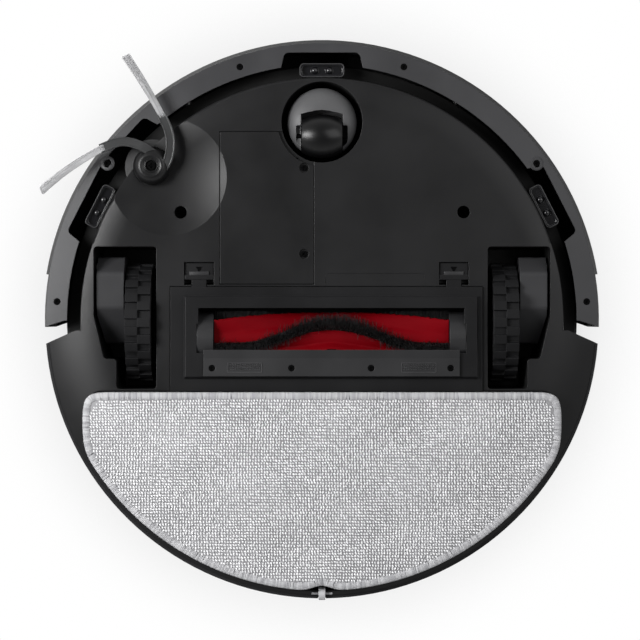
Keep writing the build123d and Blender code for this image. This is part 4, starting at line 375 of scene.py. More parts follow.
    @staticmethod
    def cut(piece: Piece, cutter: Piece) -> None:
        """Cuts one shape out of another and removes the cutter.

        Args:
            piece: The piece that is cut.
            cutter: The shape that is taken out of it.
        """
        Bench.clear()
        bpy.context.view_layer.objects.active = piece
        piece.select_set(True)
        cut = piece.modifiers.new("cut", "BOOLEAN")
        cut.object = cutter
        cut.solver = "EXACT"
        bpy.ops.object.modifier_apply(modifier=cut.name)
        bpy.data.objects.remove(cutter)

    @staticmethod
    def strand(radius: float, tip: float, sides: int = 3, cuts: int = 0) -> Piece:
        """Models one tapered strand of unit length that stands on the origin.

        Args:
            radius: Radius at the root.
            tip: Radius at the tip.
            sides: Number of sides.
            cuts: Number of cuts along the length.

        Returns:
            The strand.
        """
        Bench.clear()
        bpy.ops.mesh.primitive_cone_add(vertices=sides, radius1=radius, radius2=tip, depth=1.0,
                                        location=(0, 0, 0.5))
        piece = Bench.named("strand")
        if cuts:
            Bench.edit(piece)
            bpy.ops.mesh.select_mode(type="EDGE")
            mesh = bmesh.from_edit_mesh(piece.data)
            for edge in mesh.edges:
                edge.select_set(abs(edge.verts[0].co.z - edge.verts[1].co.z) > 0.5)
            bmesh.update_edit_mesh(piece.data)
            bpy.ops.mesh.subdivide(number_cuts=cuts)
            bpy.ops.object.mode_set(mode="OBJECT")
        return piece

    @staticmethod
    def aimed(root: Vector, tip: Vector) -> Matrix:
        """Matrix that lays a unit strand from root to tip.

        Args:
            root: Where the strand stands.
            tip: Where it ends.

        Returns:
            The strand's matrix.
        """
        along = tip - root
        turn = along.to_track_quat("Z", "Y").to_matrix().to_4x4()
        return Matrix.Translation(root) @ turn @ Matrix.Diagonal((1.0, 1.0, along.length, 1.0))


class Wiring:
    """Places and links nodes in one node tree."""

    def __init__(self, tree: bpy.types.NodeTree) -> None:
        """Starts with an empty tree."""
        self.tree = tree
        tree.nodes.clear()

    @classmethod
    def material(cls, name: str) -> tuple[bpy.types.Material, "Wiring"]:
        """Opens a new node material.

        Args:
            name: The material's name.

        Returns:
            The material and its wiring.
        """
        made = bpy.data.materials.new(name)
        made.use_nodes = True
        return made, cls(made.node_tree)

    def add(self, kind: str, inputs: dict | None = None, **settings: object) -> bpy.types.Node:
        """Adds a node.

        Args:
            kind: The node's type.
            inputs: Values or sockets for its inputs, by name or index.
            settings: Other properties of the node.

        Returns:
            The new node.
        """
        node = self.tree.nodes.new(kind)
        for key, value in settings.items():
            setattr(node, key, value)
        for key, value in (inputs or {}).items():
            if isinstance(value, bpy.types.NodeSocket):
                self.tree.links.new(value, node.inputs[key])
            else:
                node.inputs[key].default_value = value
        return node

    def place(self) -> bpy.types.NodeSocket:
        """Adds Object coordinates and gives back their socket."""
        return self.add("ShaderNodeTexCoord").outputs["Object"]

    def surface(self, shader: bpy.types.Node) -> None:
        """Leads a shader to the material's output."""
        self.add("ShaderNodeOutputMaterial", {"Surface": shader.outputs[0]})

    def mix(self, share: object, first: object, second: object) -> bpy.types.NodeSocket:
        """Mixes two colours and gives back the result's socket.

        Args:
            share: Share of the second colour, a number or a socket.
            first: A colour or a socket.
            second: A colour or a socket.

        Returns:
            The mixed colour.
        """
        node = self.add("ShaderNodeMix", data_type="RGBA", clamp_factor=True)
        for index, value in ((0, share), (6, first), (7, second)):
            if isinstance(value, bpy.types.NodeSocket):
                self.tree.links.new(value, node.inputs[index])
            else:
                node.inputs[index].default_value = value if index == 0 else (*value, 1.0)
        return node.outputs[2]

    def spread(self, value: bpy.types.NodeSocket, low: float, high: float,
               start: float = 0.0, end: float = 1.0) -> bpy.types.NodeSocket:
        """Maps a value from start and end to low and high.

        Args:
            value: The value to map.
            low: Result at the start.
            high: Result at the end.
            start: Value at the start.
            end: Value at the end.

        Returns:
            The mapped value.
        """
        node = self.add("ShaderNodeMapRange", {"Value": value, "From Min": start, "From Max": end,
                                               "To Min": low, "To Max": high})
        return node.outputs[0]

    def maths(self, operation: str, first: object, second: object = 0.0) -> bpy.types.NodeSocket:
        """Does one sum and gives back its socket."""
        return self.add("ShaderNodeMath", {0: first, 1: second}, operation=operation).outputs[0]


class Effects:
    """Shader groups that several finishes share."""

    TONE_RANGE = (0.3, 0.7)
    EDGE_RANGE = (0.8, 0.995)
    OWN_TONE = 0.7

    def __init__(self) -> None:
        """Builds the groups."""
        self.grain = self._grain()
        self.edge = self._edge()
        self.crown = self._crown()
        self.strand = self._strand()

    @staticmethod
    def _open(name: str, inputs: Sequence[str], outputs: dict[str, str]) -> tuple[Wiring, bpy.types.Node]:
        """Opens a new group.

        Args:
            name: The group's name.
            inputs: Names of its number inputs.
            outputs: Socket types of its outputs by name.

        Returns:
            The group's wiring and its input node.
        """
        tree = bpy.data.node_groups.new(name, "ShaderNodeTree")
        wiring = Wiring(tree)
        for label in inputs:
            tree.interface.new_socket(label, in_out="INPUT", socket_type="NodeSocketFloat")
        for label, kind in outputs.items():
            tree.interface.new_socket(label, in_out="OUTPUT", socket_type=kind)
        return wiring, wiring.add("NodeGroupInput")

    def _grain(self) -> bpy.types.NodeTree:
        """Fine moulding grain with a slow drift of tone.

        Returns:
            The group's tree.
        """
        wiring, given = self._open("moulded_grain", ("Grain", "Patch"),
                                   {"Height": "NodeSocketFloat", "Tone": "NodeSocketFloat"})
        place = wiring.place()
        fine, slow = (wiring.add("ShaderNodeTexNoise", {"Vector": place, "Scale": given.outputs[label],
                                                        "Detail": detail}).outputs[0]
                      for label, detail in (("Grain", 2.0), ("Patch", 3.0)))
        wiring.add("NodeGroupOutput", {"Height": fine,
                                       "Tone": wiring.spread(slow, 0.0, 1.0, *self.TONE_RANGE)})
        return wiring.tree

    def _edge(self) -> bpy.types.NodeTree:
        """Softened edges: a rounded normal and a mask of where edges are.

        Returns:
            The group's tree.
        """
        wiring, given = self._open("soft_edge", ("Radius",),
                                   {"Edge": "NodeSocketFloat", "Normal": "NodeSocketVector"})
        rounded = wiring.add("ShaderNodeBevel", {"Radius": given.outputs["Radius"]}, samples=6)
        plain = wiring.add("ShaderNodeNewGeometry")
        match = wiring.add("ShaderNodeVectorMath", {0: rounded.outputs[0], 1: plain.outputs["Normal"]},
                           operation="DOT_PRODUCT")
        mask = wiring.spread(match.outputs["Value"], 1.0, 0.0, *self.EDGE_RANGE)
        wiring.add("NodeGroupOutput", {"Edge": mask, "Normal": rounded.outputs[0]})
        return wiring.tree

    def _crown(self) -> bpy.types.NodeTree:
        """Broad rounding away from the upright axis, past a start radius.

        Returns:
            The group's tree.
        """
        wiring, given = self._open("broad_crown", ("Start", "Rise"), {"Height": "NodeSocketFloat"})
        place = wiring.place()
        flat = wiring.add("ShaderNodeVectorMath", {0: place, 1: (1.0, 1.0, 0.0)}, operation="MULTIPLY")
        radius = wiring.add("ShaderNodeVectorMath", {0: flat.outputs[0]}, operation="LENGTH")
        past = wiring.maths("SUBTRACT", radius.outputs["Value"], given.outputs["Start"])
        past = wiring.maths("MAXIMUM", past)
        fall = wiring.maths("MULTIPLY", wiring.maths("MULTIPLY", past, past), given.outputs["Rise"])
        wiring.add("NodeGroupOutput", {"Height": wiring.maths("MULTIPLY", fall, -1.0)})
        return wiring.tree

    def _strand(self) -> bpy.types.NodeTree:
        """Each strand's own tone, with a little drift along it.

        Returns:
            The group's tree.
        """
        wiring, given = self._open("strand_tone", ("Drift",), {"Tone": "NodeSocketFloat"})
        own = wiring.add("ShaderNodeAttribute", attribute_name="tone").outputs["Fac"]
        noise = wiring.add("ShaderNodeTexNoise", {"Vector": wiring.place(),
                                                  "Scale": given.outputs["Drift"]})
        both = wiring.maths("ADD", wiring.maths("MULTIPLY", own, self.OWN_TONE),
                            wiring.maths("MULTIPLY", noise.outputs[0], 1.0 - self.OWN_TONE))
        wiring.add("NodeGroupOutput", {"Tone": both})
        return wiring.tree


@dataclass(frozen=True)
class Moulded:
    """Finish of a moulded or metal piece with grain, drifting tone, softened edges and a painted highlight
    along them.

    Args:
        name: The material's name.
        colour: Base colour, linear.
        roughness: Mean roughness.
        specular: Level of the plain reflection.
        metallic: Metal share.
        coat: Weight of a clear coat.
        grain: Grains per metre.
        depth: Strength of the grain's relief.
        drift: How far the tone drifts.
        edge: How much lighter the edges are painted, a painted highlight.
        edge_radius: Radius of the softened edges.
        crown: Rise per square metre of a broad rounding towards the rim, or none.
        crown_start: Radius where the rounding starts.
        clear: Share of light that passes through.
        upper_shade: Darker colour painted above the split as shade, or none.
        split: Height where the painted shade starts.
        upper_roughness: Least roughness above the split.
        blend: Height over which the painted shade comes in.
        patch: Patches of drifting tone per metre.
        relief: Height of the grain.
        rough_drift: How far the roughness drifts.
        coat_roughness: Roughness of the clear coat.
        edge_highlight: How the painted edge highlight lightens edges: by a share of the colour, and by a
            plain amount.
    """

    name: str
    colour: Colour
    roughness: float = 0.5
    specular: float = 0.3
    metallic: float = 0.0
    coat: float = 0.0
    grain: float = 2200.0
    depth: float = 0.12
    drift: float = 0.18
    edge: float = 0.35
    edge_radius: float = 0.5 * MM
    crown: float = 0.0
    crown_start: float = 0.0
    clear: float = 0.0
    upper_shade: Colour | None = None
    split: float = 0.0
    upper_roughness: float = 0.75
    blend: float = 0.3 * MM
    patch: float = 24.0
    relief: float = 0.2 * MM
    rough_drift: float = 0.05
    coat_roughness: float = 0.08
    edge_highlight: tuple[float, float] = (3.0, 0.02)

    def material(self, effects: Effects) -> bpy.types.Material:
        """Builds the node material.

        Args:
            effects: The shared shader groups.

        Returns:
            The new material.
        """
        made, wiring = Wiring.material(self.name)
        grain = wiring.add("ShaderNodeGroup", {"Grain": self.grain, "Patch": self.patch},
                           node_tree=effects.grain).outputs
        edge = wiring.add("ShaderNodeGroup", {"Radius": self.edge_radius}, node_tree=effects.edge).outputs
        dark = tuple(channel * (1 - self.drift) for channel in self.colour)
        light = tuple(channel * (1 + self.drift) for channel in self.colour)
        # Painted highlight: the edges get a lighter colour, mixed in by the edge mask.
        share, amount = (part * self.edge for part in self.edge_highlight)
        highlight_colour = tuple(min(1.0, channel * (1 + share) + amount) for channel in self.colour)
        tone = wiring.mix(grain["Tone"], dark, light)
        # Painted shade: above the split height the colour turns darker.
        if self.upper_shade:
            height = wiring.add("ShaderNodeSeparateXYZ", {0: wiring.place()}).outputs["Z"]
            above = wiring.spread(height, 0.0, 1.0, self.split, self.split + self.blend)
            tone = wiring.mix(above, tone, self.upper_shade)
        # The painted edge highlight is mixed over the tone here.
        colour = wiring.mix(wiring.maths("MULTIPLY", edge["Edge"], self.edge), tone, highlight_colour)
        rough = wiring.spread(grain["Tone"], self.roughness - self.rough_drift,
                              self.roughness + self.rough_drift)
        if self.upper_shade:
            rough = wiring.maths("MAXIMUM", rough, wiring.maths("MULTIPLY", above, self.upper_roughness))
        normal = edge["Normal"]
        if self.crown:
            crown = wiring.add("ShaderNodeGroup", {"Start": self.crown_start, "Rise": self.crown},
                               node_tree=effects.crown)
            normal = wiring.add("ShaderNodeBump", {"Strength": 1.0, "Distance": 1.0, "Normal": normal,
                                                   "Height": crown.outputs["Height"]}).outputs[0]
        bump = wiring.add("ShaderNodeBump", {"Strength": self.depth, "Distance": self.relief,
                                             "Normal": normal, "Height": grain["Height"]})
        shader = wiring.add("ShaderNodeBsdfPrincipled", {
            "Base Color": colour, "Roughness": rough, "Metallic": self.metallic, "Normal": bump.outputs[0],
            "Specular IOR Level": self.specular, "Coat Weight": self.coat,
            "Coat Roughness": self.coat_roughness, "Transmission Weight": self.clear})
        wiring.surface(shader)
        return made


@dataclass(frozen=True)
class Fibre:
    """Finish of strands, loops or stitches whose tone differs from one to the next.

    Args:
        name: The material's name.
        dark: Colour of the darkest strand, linear.
        light: Colour of the lightest strand, linear.
        roughness: Mean roughness.
        specular: Level of the plain reflection.
        sheen: Weight of the soft sheen.
        drift: Changes of tone per metre along a strand.
        grain: Grains per metre.
        patch: Patches of drifting roughness per metre.
        depth: Strength of the grain's relief.
        relief: Height of the grain.
        rough_drift: How far the roughness drifts.
    """

    name: str
    dark: Colour
    light: Colour
    roughness: float = 0.6
    specular: float = 0.3
    sheen: float = 0.0
    drift: float = 160.0
    grain: float = 6000.0
    patch: float = 40.0
    depth: float = 0.3
    relief: float = 0.1 * MM
    rough_drift: float = 0.08

    def material(self, effects: Effects) -> bpy.types.Material:
        """Builds the node material.

        Args:
            effects: The shared shader groups.

        Returns:
            The new material.
        """
        made, wiring = Wiring.material(self.name)
        tone = wiring.add("ShaderNodeGroup", {"Drift": self.drift}, node_tree=effects.strand)
        grain = wiring.add("ShaderNodeGroup", {"Grain": self.grain, "Patch": self.patch},
                           node_tree=effects.grain).outputs
        bump = wiring.add("ShaderNodeBump", {"Strength": self.depth, "Distance": self.relief,
                                             "Height": grain["Height"]})
        shader = wiring.add("ShaderNodeBsdfPrincipled", {
            "Base Color": wiring.mix(tone.outputs["Tone"], self.dark, self.light),
            "Roughness": wiring.spread(grain["Tone"], self.roughness - self.rough_drift,
                                       self.roughness + self.rough_drift),
            "Specular IOR Level": self.specular, "Sheen Weight": self.sheen, "Normal": bump.outputs[0]})
        wiring.surface(shader)
        return made


class Palette(Enum):
    """Every finish on the object."""

    # PAN's darker colour above its split is painted shade on the chassis's higher, recessed faces.
    PAN = Moulded("pan_black", (0.0052, 0.0052, 0.0056), 0.42, 0.24, depth=0.2, edge=0.25, crown=8.0,
                  crown_start=133.0 * MM, upper_shade=(0.0025, 0.0025, 0.0025), split=16.0 * MM)
    DECK = Moulded("deck_black", (0.014, 0.014, 0.015), 0.38, 0.4, depth=0.08)
    # RING's darker colour above its split is painted shade on the bumper's outer wall.
    RING = Moulded("ring_grey", (0.034, 0.034, 0.036), 0.42, 0.2, depth=0.2, edge=0.05, crown=1.6,
                   crown_start=100.0 * MM, upper_shade=(0.005, 0.005, 0.0055), split=14.05 * MM)
    SKIRT = Moulded("skirt_black", (0.012, 0.012, 0.013), 0.42, 0.25)
    TURRET = Moulded("turret_dark", (0.018, 0.018, 0.02), 0.3, 0.45, depth=0.06)
    GLOSS = Moulded("gloss_dark", (0.006, 0.006, 0.007), 0.12, 0.5, depth=0.02, drift=0.1, edge=0.6)
    BUTTON = Moulded("button_grey", (0.05, 0.05, 0.053), 0.35, 0.4)
    GEARBOX = Moulded("gearbox_grey", (0.026, 0.026, 0.0275), 0.45, 0.2)
    TYRE = Moulded("tyre_rubber", (0.0065, 0.0065, 0.007), 0.6, 0.12, depth=0.4, edge=0.5)
    CASTER = Moulded("caster_dome", (0.066, 0.066, 0.068), 0.46, 0.28)
    CASTER_WHEEL = Moulded("caster_wheel", (0.002, 0.002, 0.0022), 0.34, 0.28, depth=0.05)
    HUB = Moulded("hub_dark", (0.0042, 0.0042, 0.0045), 0.34, 0.28, depth=0.05)
    SMOKE = Moulded("smoke_rubber", (0.04, 0.041, 0.042), 0.36, 0.3, edge=0.6, clear=0.55, depth=0.05)
    RED = Moulded("red_rubber", (0.112, 0.0002, 0.0022), 0.5, 0.04, edge=0.3, depth=0.1)
    COVER = Moulded("cover_black", (0.0065, 0.0065, 0.007), 0.42, 0.16, depth=0.2, edge=0.4)
    COMB = Moulded("comb_black", (0.018, 0.018, 0.019), 0.42, 0.25, depth=0.2)
    GRIP = Moulded("grip_grey", (0.042, 0.042, 0.044), 0.5, 0.2, edge=0.1)
    PULLEY = Moulded("pulley_white", (0.6, 0.6, 0.58), 0.45)
    BELT = Moulded("belt_rubber", (0.015, 0.015, 0.015), 0.7, 0.2)
    STEEL = Moulded("plain_steel", (0.55, 0.55, 0.56), 0.3, metallic=1.0, depth=0.05)
    SCREW = Moulded("screw_black", (0.0014, 0.0014, 0.0015), 0.7, 0.03, depth=0.05, edge=0.2)
    CONTACT = Moulded("contact_plate", (0.72, 0.58, 0.34), 0.25, metallic=1.0, depth=0.05)
    WRAP = Moulded("battery_wrap", (0.03, 0.05, 0.11), 0.35)
    BOARD = Moulded("board_green", (0.01, 0.08, 0.03), 0.4)
    PAPER = Moulded("filter_paper", (0.7, 0.69, 0.64), 0.85, 0.1, depth=0.6)
    ROLLER = Moulded("roller_grey", (0.43, 0.43, 0.44), 0.5, 0.3)
    MARK = Moulded("pale_mark", (0.3, 0.3, 0.31), 0.5, 0.3)
    RIM = Moulded("rim_grey", (0.026, 0.026, 0.027), 0.4, 0.3)
    # The backing between the loops is darker than the loops: painted shade in the gaps.
    CLOTH = Moulded("shaded_mop_backing", (0.24, 0.24, 0.247), 0.9, 0.1, grain=900.0, depth=0.8)
    LOOP = Fibre("mop_loops", (0.48, 0.48, 0.495), (0.84, 0.84, 0.85), 0.8, 0.15, 0.2)
    STITCH = Fibre("mop_stitches", (0.25, 0.25, 0.262), (0.47, 0.47, 0.48), 0.75, 0.15, 0.2)
    PALE_BRISTLE = Fibre("pale_bristle", (0.22, 0.22, 0.225), (0.5, 0.5, 0.51), 0.45, 0.4)
    BLACK_BRISTLE = Fibre("black_bristle", (0.003, 0.003, 0.003), (0.035, 0.035, 0.036), 0.5, 0.2)


CAD_FINISHES: dict[Palette, tuple[str, ...]] = {
    Palette.PAN: ("chassis", "battery_cover", "suction_duct", "fan_housing", "mop_plate",
                  "bumper_switches"),
    Palette.DECK: ("top_deck",),
    Palette.RING: ("bumper",),
    Palette.SKIRT: ("rear_skirt", "dust_tank"),
    Palette.TURRET: ("turret_housing",),
    Palette.GLOSS: ("lidar_rotor", "cliff_sensors", "front_window"),
    Palette.BUTTON: ("power_button", "home_button", "tank_button"),
    Palette.GEARBOX: ("left_drive_arm", "right_drive_arm", "left_wheel_hub", "right_wheel_hub"),
    Palette.TYRE: ("left_tyre", "right_tyre"),
    Palette.CASTER: ("caster_fork",),
    Palette.CASTER_WHEEL: ("caster_wheel",),
    Palette.SMOKE: ("side_brush_hub",),
    Palette.PALE_BRISTLE: ("side_brush_tufts",),
    Palette.RED: ("main_brush",),
    Palette.BLACK_BRISTLE: ("main_brush_bristles",),
    Palette.COVER: ("brush_cover", "left_cover_latch", "right_cover_latch"),
    Palette.COMB: ("brush_comb", "brush_bearings"),
    Palette.PULLEY: ("brush_pulley", "brush_motor_pulley", "lidar_motor_pulley", "fan_impeller"),
    Palette.BELT: ("brush_belt", "lidar_belt"),
    Palette.STEEL: ("bumper_guides", "suspension_pins", "left_wheel_spring", "right_wheel_spring",
                    "brush_motor", "side_brush_motor", "lidar_motor", "mop_lift_motor"),
    Palette.SCREW: ("bumper_screws", "underside_screws", "side_brush_screw", "comb_screws",
                    "caster_axle"),
    Palette.CONTACT: ("charge_contacts",),
    Palette.WRAP: ("battery_pack",),
    Palette.BOARD: ("main_board",),
    Palette.PAPER: ("tank_filter",),
    Palette.CLOTH: ("mop_pad",),
    Palette.ROLLER: ("rear_roller",),
    Palette.MARK: ("rear_roller_pin",),
}


class Workshop:
    """Keeps the materials and puts finished pieces on the object."""

    def __init__(self) -> None:
        """Makes every material and starts the random draws."""
        effects = Effects()
        self.materials = {entry: entry.value.material(effects) for entry in Palette}
        self.random = random.Random(SEED)

    def dress(self, piece: Piece, finish: Palette) -> None:
        """Gives a piece one material all over."""
        piece.data.materials.clear()
        piece.data.materials.append(self.materials[finish])

    def fit(self, piece: Piece, finish: Palette, body: Body, slot: Slot, *replaced: str) -> Piece:
        """Dresses a new piece and fixes it to the frame.

        Args:
            piece: The finished piece.
            finish: Its material.
            body: The body it rides on.
            slot: The record's slot for the piece; not used.
            replaced: CAD nodes that it stands for.

        Returns:
            The same piece.
        """
        self.dress(piece, finish)
        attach(piece, body.value)
        if replaced:
            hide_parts(*replaced)
        LOG.info("%s: %d faces on %s", piece.name, len(piece.data.polygons), body.value)
        return piece

    def dress_frame(self) -> None:
        """Gives every CAD node its material."""
        for finish, nodes in CAD_FINISHES.items():
            for node in nodes:
                self.dress(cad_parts[node], finish)
        LOG.info("CAD nodes dressed: %d", sum(len(nodes) for nodes in CAD_FINISHES.values()))

    @staticmethod
    def lowest(node: str, spot: Vector, reach: float) -> float:
        """Lowest height of a CAD node within a reach of a spot on the plan.

        Args:
            node: The CAD node's name.
            spot: The spot.
            reach: How far from it to look.

        Returns:
            The height in metres.
        """
        heights = [vertex.co.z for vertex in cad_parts[node].data.vertices
                   if (vertex.co.xy - spot.xy).length < reach]
        return min(heights)


@dataclass
class Screws:
    """Cross-recess screws of the underside, modelled once and copied to each place."""

    head: float = 2.0 * MM
    height: float = 1.2 * MM
    crown: float = 0.15 * MM
    shank: float = 1.0 * MM
    length: float = 3.0 * MM
    recess: tuple[float, float, float] = (2.3 * MM, 0.6 * MM, 0.7 * MM)
    ring_radius: float = 164.0 * MM
    ring_angles: tuple[float, ...] = (-86.2, -54.0, -18.0, 18.0, 54.0, 86.2)
    battery_spots: tuple[tuple[float, float], ...] = ((-11.1, -93.2), (-11.1, -40.2))
    case_spots: tuple[tuple[float, float], ...] = ((-87.2, -66.0), (87.2, -66.0))
    comb_x: tuple[float, ...] = (-67.5, -18.7, 30.1, 78.9)
    comb_y: float = 30.0
    hub_spot: tuple[float, float] = (-104.8, -94.3)
    hub_height: float = 5.4 * MM
    hub_size: float = 1.35
    sides: int = 24
    rounding: float = 0.3
    turn: float = 0.7
    search: float = 4.0 * MM

    def template(self) -> Piece:
        """Models one screw, head down, with its seat on the origin.

        Returns:
            The screw.
        """
        Bench.clear()
        bpy.ops.mesh.primitive_cylinder_add(vertices=self.sides, radius=self.head, depth=self.height,
                                            location=(0, 0, self.height / 2))
        screw = Bench.named("screw")
        Bench.edit(screw)
        Bench.pick(screw, Bench.faces_down)
        bpy.ops.mesh.inset(thickness=self.rounding * self.head)
        Bench.move(z=-self.crown)
        Bench.pick(screw, Bench.faces_up)
        bpy.ops.mesh.inset(thickness=self.head - self.shank)
        Bench.extrude(z=self.length)
        bpy.ops.object.mode_set(mode="OBJECT")
        for turn in (0.0, math.pi / 2):
            Bench.clear()
            bpy.ops.mesh.primitive_cube_add(size=1.0, location=(0, 0, -self.crown), rotation=(0, 0, turn))
            bpy.context.object.scale = (self.recess[0], self.recess[1], 2 * self.recess[2])
            Bench.cut(screw, Bench.named("cutter"))
        return Bench.close(screw)

    def row(self, name: str, spots: Sequence[Vector], size: float = 1.0) -> Piece:
        """Copies the screw to a row of places.

        Args:
            name: The new piece's name.
            spots: Where each head's seat lies.
            size: Scale of the screw.

        Returns:
            The piece with all the copies.
        """
        places = [Matrix.Translation(spot) @ Matrix.Rotation(self.turn * index, 4, "Z")
                  @ Matrix.Scale(size, 4) for index, spot in enumerate(spots)]
        return Bench.copies(name, self.template(), places)

    def seat(self, node: str, x: float, y: float) -> Vector:
        """Place of the head on a CAD screw at a spot in millimetres.

        Args:
            node: The CAD node's name.
            x: Across, in millimetres.
            y: Along, in millimetres.

        Returns:
            The head's seat in metres.
        """
        spot = Vector((x * MM, y * MM, 0.0))
        spot.z = Workshop.lowest(node, spot, self.search) + self.crown
        return spot

    def build(self, shop: Workshop) -> None:
        """Makes the four sets of screws.

        Args:
            shop: Fits the pieces to the frame.
        """
        ring = [polar(self.ring_radius, angle) / MM for angle in self.ring_angles]
        ring = [self.seat("bumper_screws", spot.x, spot.y) for spot in ring]
        case = [self.seat("underside_screws", *spot) for spot in self.battery_spots + self.case_spots]
        comb = [self.seat("comb_screws", x, self.comb_y) for x in self.comb_x]
        hub = [Vector((self.hub_spot[0] * MM, self.hub_spot[1] * MM, self.hub_height))]
        for name, spots, size, body, node in (
                ("ring_screws", ring, 1.0, Body.BUMPER, "bumper_screws"),
                ("case_screws", case, 1.0, Body.CHASSIS, "underside_screws"),
                ("cover_screws", comb, 1.0, Body.BRUSH_COVER, "comb_screws"),
                ("hub_screw", hub, self.hub_size, Body.SIDE_BRUSH, "side_brush_screw")):
            shop.fit(self.row(name, spots, size), Palette.SCREW, body, Slot.SCREW, node)


@dataclass
class UndersideTrim:
    """Small trim of the underside: sensor rims, ring bosses, latch trim, label frame and comb grips."""

    sensor_radius: float = 153.8 * MM
    sensor_angles: tuple[float, ...] = (-63.0, 0.0, 63.0)
    sensor_size: tuple[float, float] = (27.5 * MM, 8.5 * MM)
    sensor_corner: float = 2.6 * MM
    sensor_z: float = 13.5 * MM
    rim: float = 0.55 * MM
    proud: float = 0.25 * MM
    boss_radius: float = 164.0 * MM
    boss_angles: tuple[float, ...] = (-54.0, 54.0)
    boss: tuple[tuple[float, float], ...] = (
        (2.6, 16.4), (2.6, 13.97), (4.2, 13.97), (4.6, 14.3), (4.6, 16.4), (2.6, 16.4))
    latch_x: tuple[float, float] = (-75.75 * MM, 81.2 * MM)
    arrow_y: float = -31.2 * MM
    arrow: float = 2.3 * MM
    arrow_inset: float = 0.2
    arrow_sink: float = 0.4
    latch_z: float = 10.5 * MM
    finger_y: tuple[float, float] = (-29.5 * MM, -26.4 * MM)
    finger_width: float = 12.2 * MM
    finger_height: float = 0.9 * MM
    finger_bevel: float = 0.3
    label_x: tuple[float, float] = (1.8 * MM, 63.5 * MM)
    label_y: tuple[float, float] = (-28.5 * MM, -20.6 * MM)
    label_corner: float = 2.5 * MM
    label_line: float = 0.4 * MM
    label_rise: float = 0.12 * MM
    pan_z: float = 9.0 * MM
    grip_x: tuple[tuple[float, float], ...] = ((-58.2 * MM, -36.7 * MM), (48.7 * MM, 70.2 * MM))
    grip_y: tuple[float, float] = (26.6 * MM, 32.8 * MM)
    grip_pitch: float = 1.05 * MM
    grip_start: tuple[float, float] = (1.2 * MM, 1.1 * MM)
    grip_end: tuple[float, float] = (1.0 * MM, 0.9 * MM)
    grip_corner: float = 0.8 * MM
    grip_line: float = 0.4 * MM
    grip_rise: float = 0.3 * MM
    knob: tuple[float, float, float] = (0.55 * MM, 0.15 * MM, 0.35 * MM)
    knob_rise: float = 0.17 * MM
    comb_z: float = 2.8 * MM

    def sensor_rims(self) -> Piece:
        """Rounded rims round the three cliff sensor windows.

        Returns:
            The rims as one piece.
        """
        rim = Bench.framed("rim", *self.sensor_size, self.sensor_corner, self.rim, self.proud)
        height = Vector((0, 0, self.sensor_z - self.proud))
        places = [Matrix.Translation(polar(self.sensor_radius, angle) + height)
                  @ Matrix.Rotation(math.radians(angle), 4, "Z") for angle in self.sensor_angles]
        return Bench.copies("cliff_rims", rim, places)

    def ring_bosses(self) -> Piece:
        """Round bosses of the bumper's ring at the two screws between its lobes.

        Returns:
            The bosses as one piece.
        """
        boss = Bench.turned("boss", Vector((0.0, 0.0, 0.0)), self.boss, steps=32)
        places = [Matrix.Translation(polar(self.boss_radius, angle)) for angle in self.boss_angles]
        return Bench.copies("ring_bosses", boss, places)

    def latch_arrow(self, name: str, x: float) -> Piece:
        """Raised arrow head on a latch, pointing to the cover.

        Args:
            name: The new piece's name.
            x: Middle of the latch.

        Returns:
            The arrow head.
        """
        Bench.clear()
        spot = (x, self.arrow_y, self.latch_z - self.proud / 2)
        bpy.ops.mesh.primitive_cone_add(vertices=3, radius1=self.arrow, radius2=self.arrow,
                                        depth=self.proud, location=spot)
        arrow = Bench.named(name)
        Bench.edit(arrow)
        Bench.pick(arrow, Bench.faces_down)
        bpy.ops.mesh.inset(thickness=self.arrow_inset * self.arrow)
        Bench.move(z=self.arrow_sink * self.proud)
        return Bench.close(arrow, smooth=20.0)

    def finger_bar(self, name: str, x: float) -> Piece:
        """Raised bar on a latch that a finger pulls.

        Args:
            name: The new piece's name.
            x: Middle of the latch.

        Returns:
            The bar.
        """
        centre = (x, sum(self.finger_y) / 2, self.latch_z - self.finger_height / 2)
        size = (self.finger_width, self.finger_y[1] - self.finger_y[0], self.finger_height)
        return Bench.block(name, centre, size, self.finger_bevel * self.finger_height, 2)

    def label_frame(self) -> Piece:
        """Thin raised line of the bare label panel, open towards the cover.

        Returns:
            The frame.
        """
        width = self.label_x[1] - self.label_x[0]
        depth = 2 * (self.label_y[1] - self.label_y[0])
        label = Bench.framed("label_frame", width, depth, self.label_corner, self.label_line,
                             self.label_rise)
        Bench.edit(label)
        bpy.ops.mesh.bisect(plane_co=(0, 0, 0), plane_no=(0, 1, 0), use_fill=True, clear_outer=True)
        bpy.ops.mesh.select_all(action="SELECT")
        Bench.move(sum(self.label_x) / 2, self.label_y[1], self.pan_z - self.label_rise)
        return Bench.close(label)

    def comb_grips(self) -> Piece:
        """Knurled patches on the comb plate, each with a rim.

        Returns:
            The patches as one piece.
        """
        base, point, height = self.knob
        Bench.clear()
        bpy.ops.mesh.primitive_cone_add(vertices=4, radius1=base, radius2=point, depth=height,
                                        rotation=(math.pi, 0, 0))
        knob = Bench.named("knob")
        front, back = self.grip_y
        rows = np.arange(front + self.grip_start[1], back - self.grip_end[1], self.grip_pitch)
        parts, spots = [], []
        for left, right in self.grip_x:
            columns = np.arange(left + self.grip_start[0], right - self.grip_end[0], self.grip_pitch)
            spots += [Matrix.Translation((x, y, self.comb_z - self.knob_rise))
                      for x in columns for y in rows]
            rim = Bench.framed("grip_rim", right - left, back - front, self.grip_corner, self.grip_line,
                               self.grip_rise)
            middle = ((left + right) / 2, sum(self.grip_y) / 2, self.comb_z - self.grip_rise)
            parts.append(Bench.copies("grip_rim", rim, [Matrix.Translation(middle)]))
        parts.append(Bench.copies("knobs", knob, spots, smooth=10.0))
        return Bench.joined("comb_grips", parts)

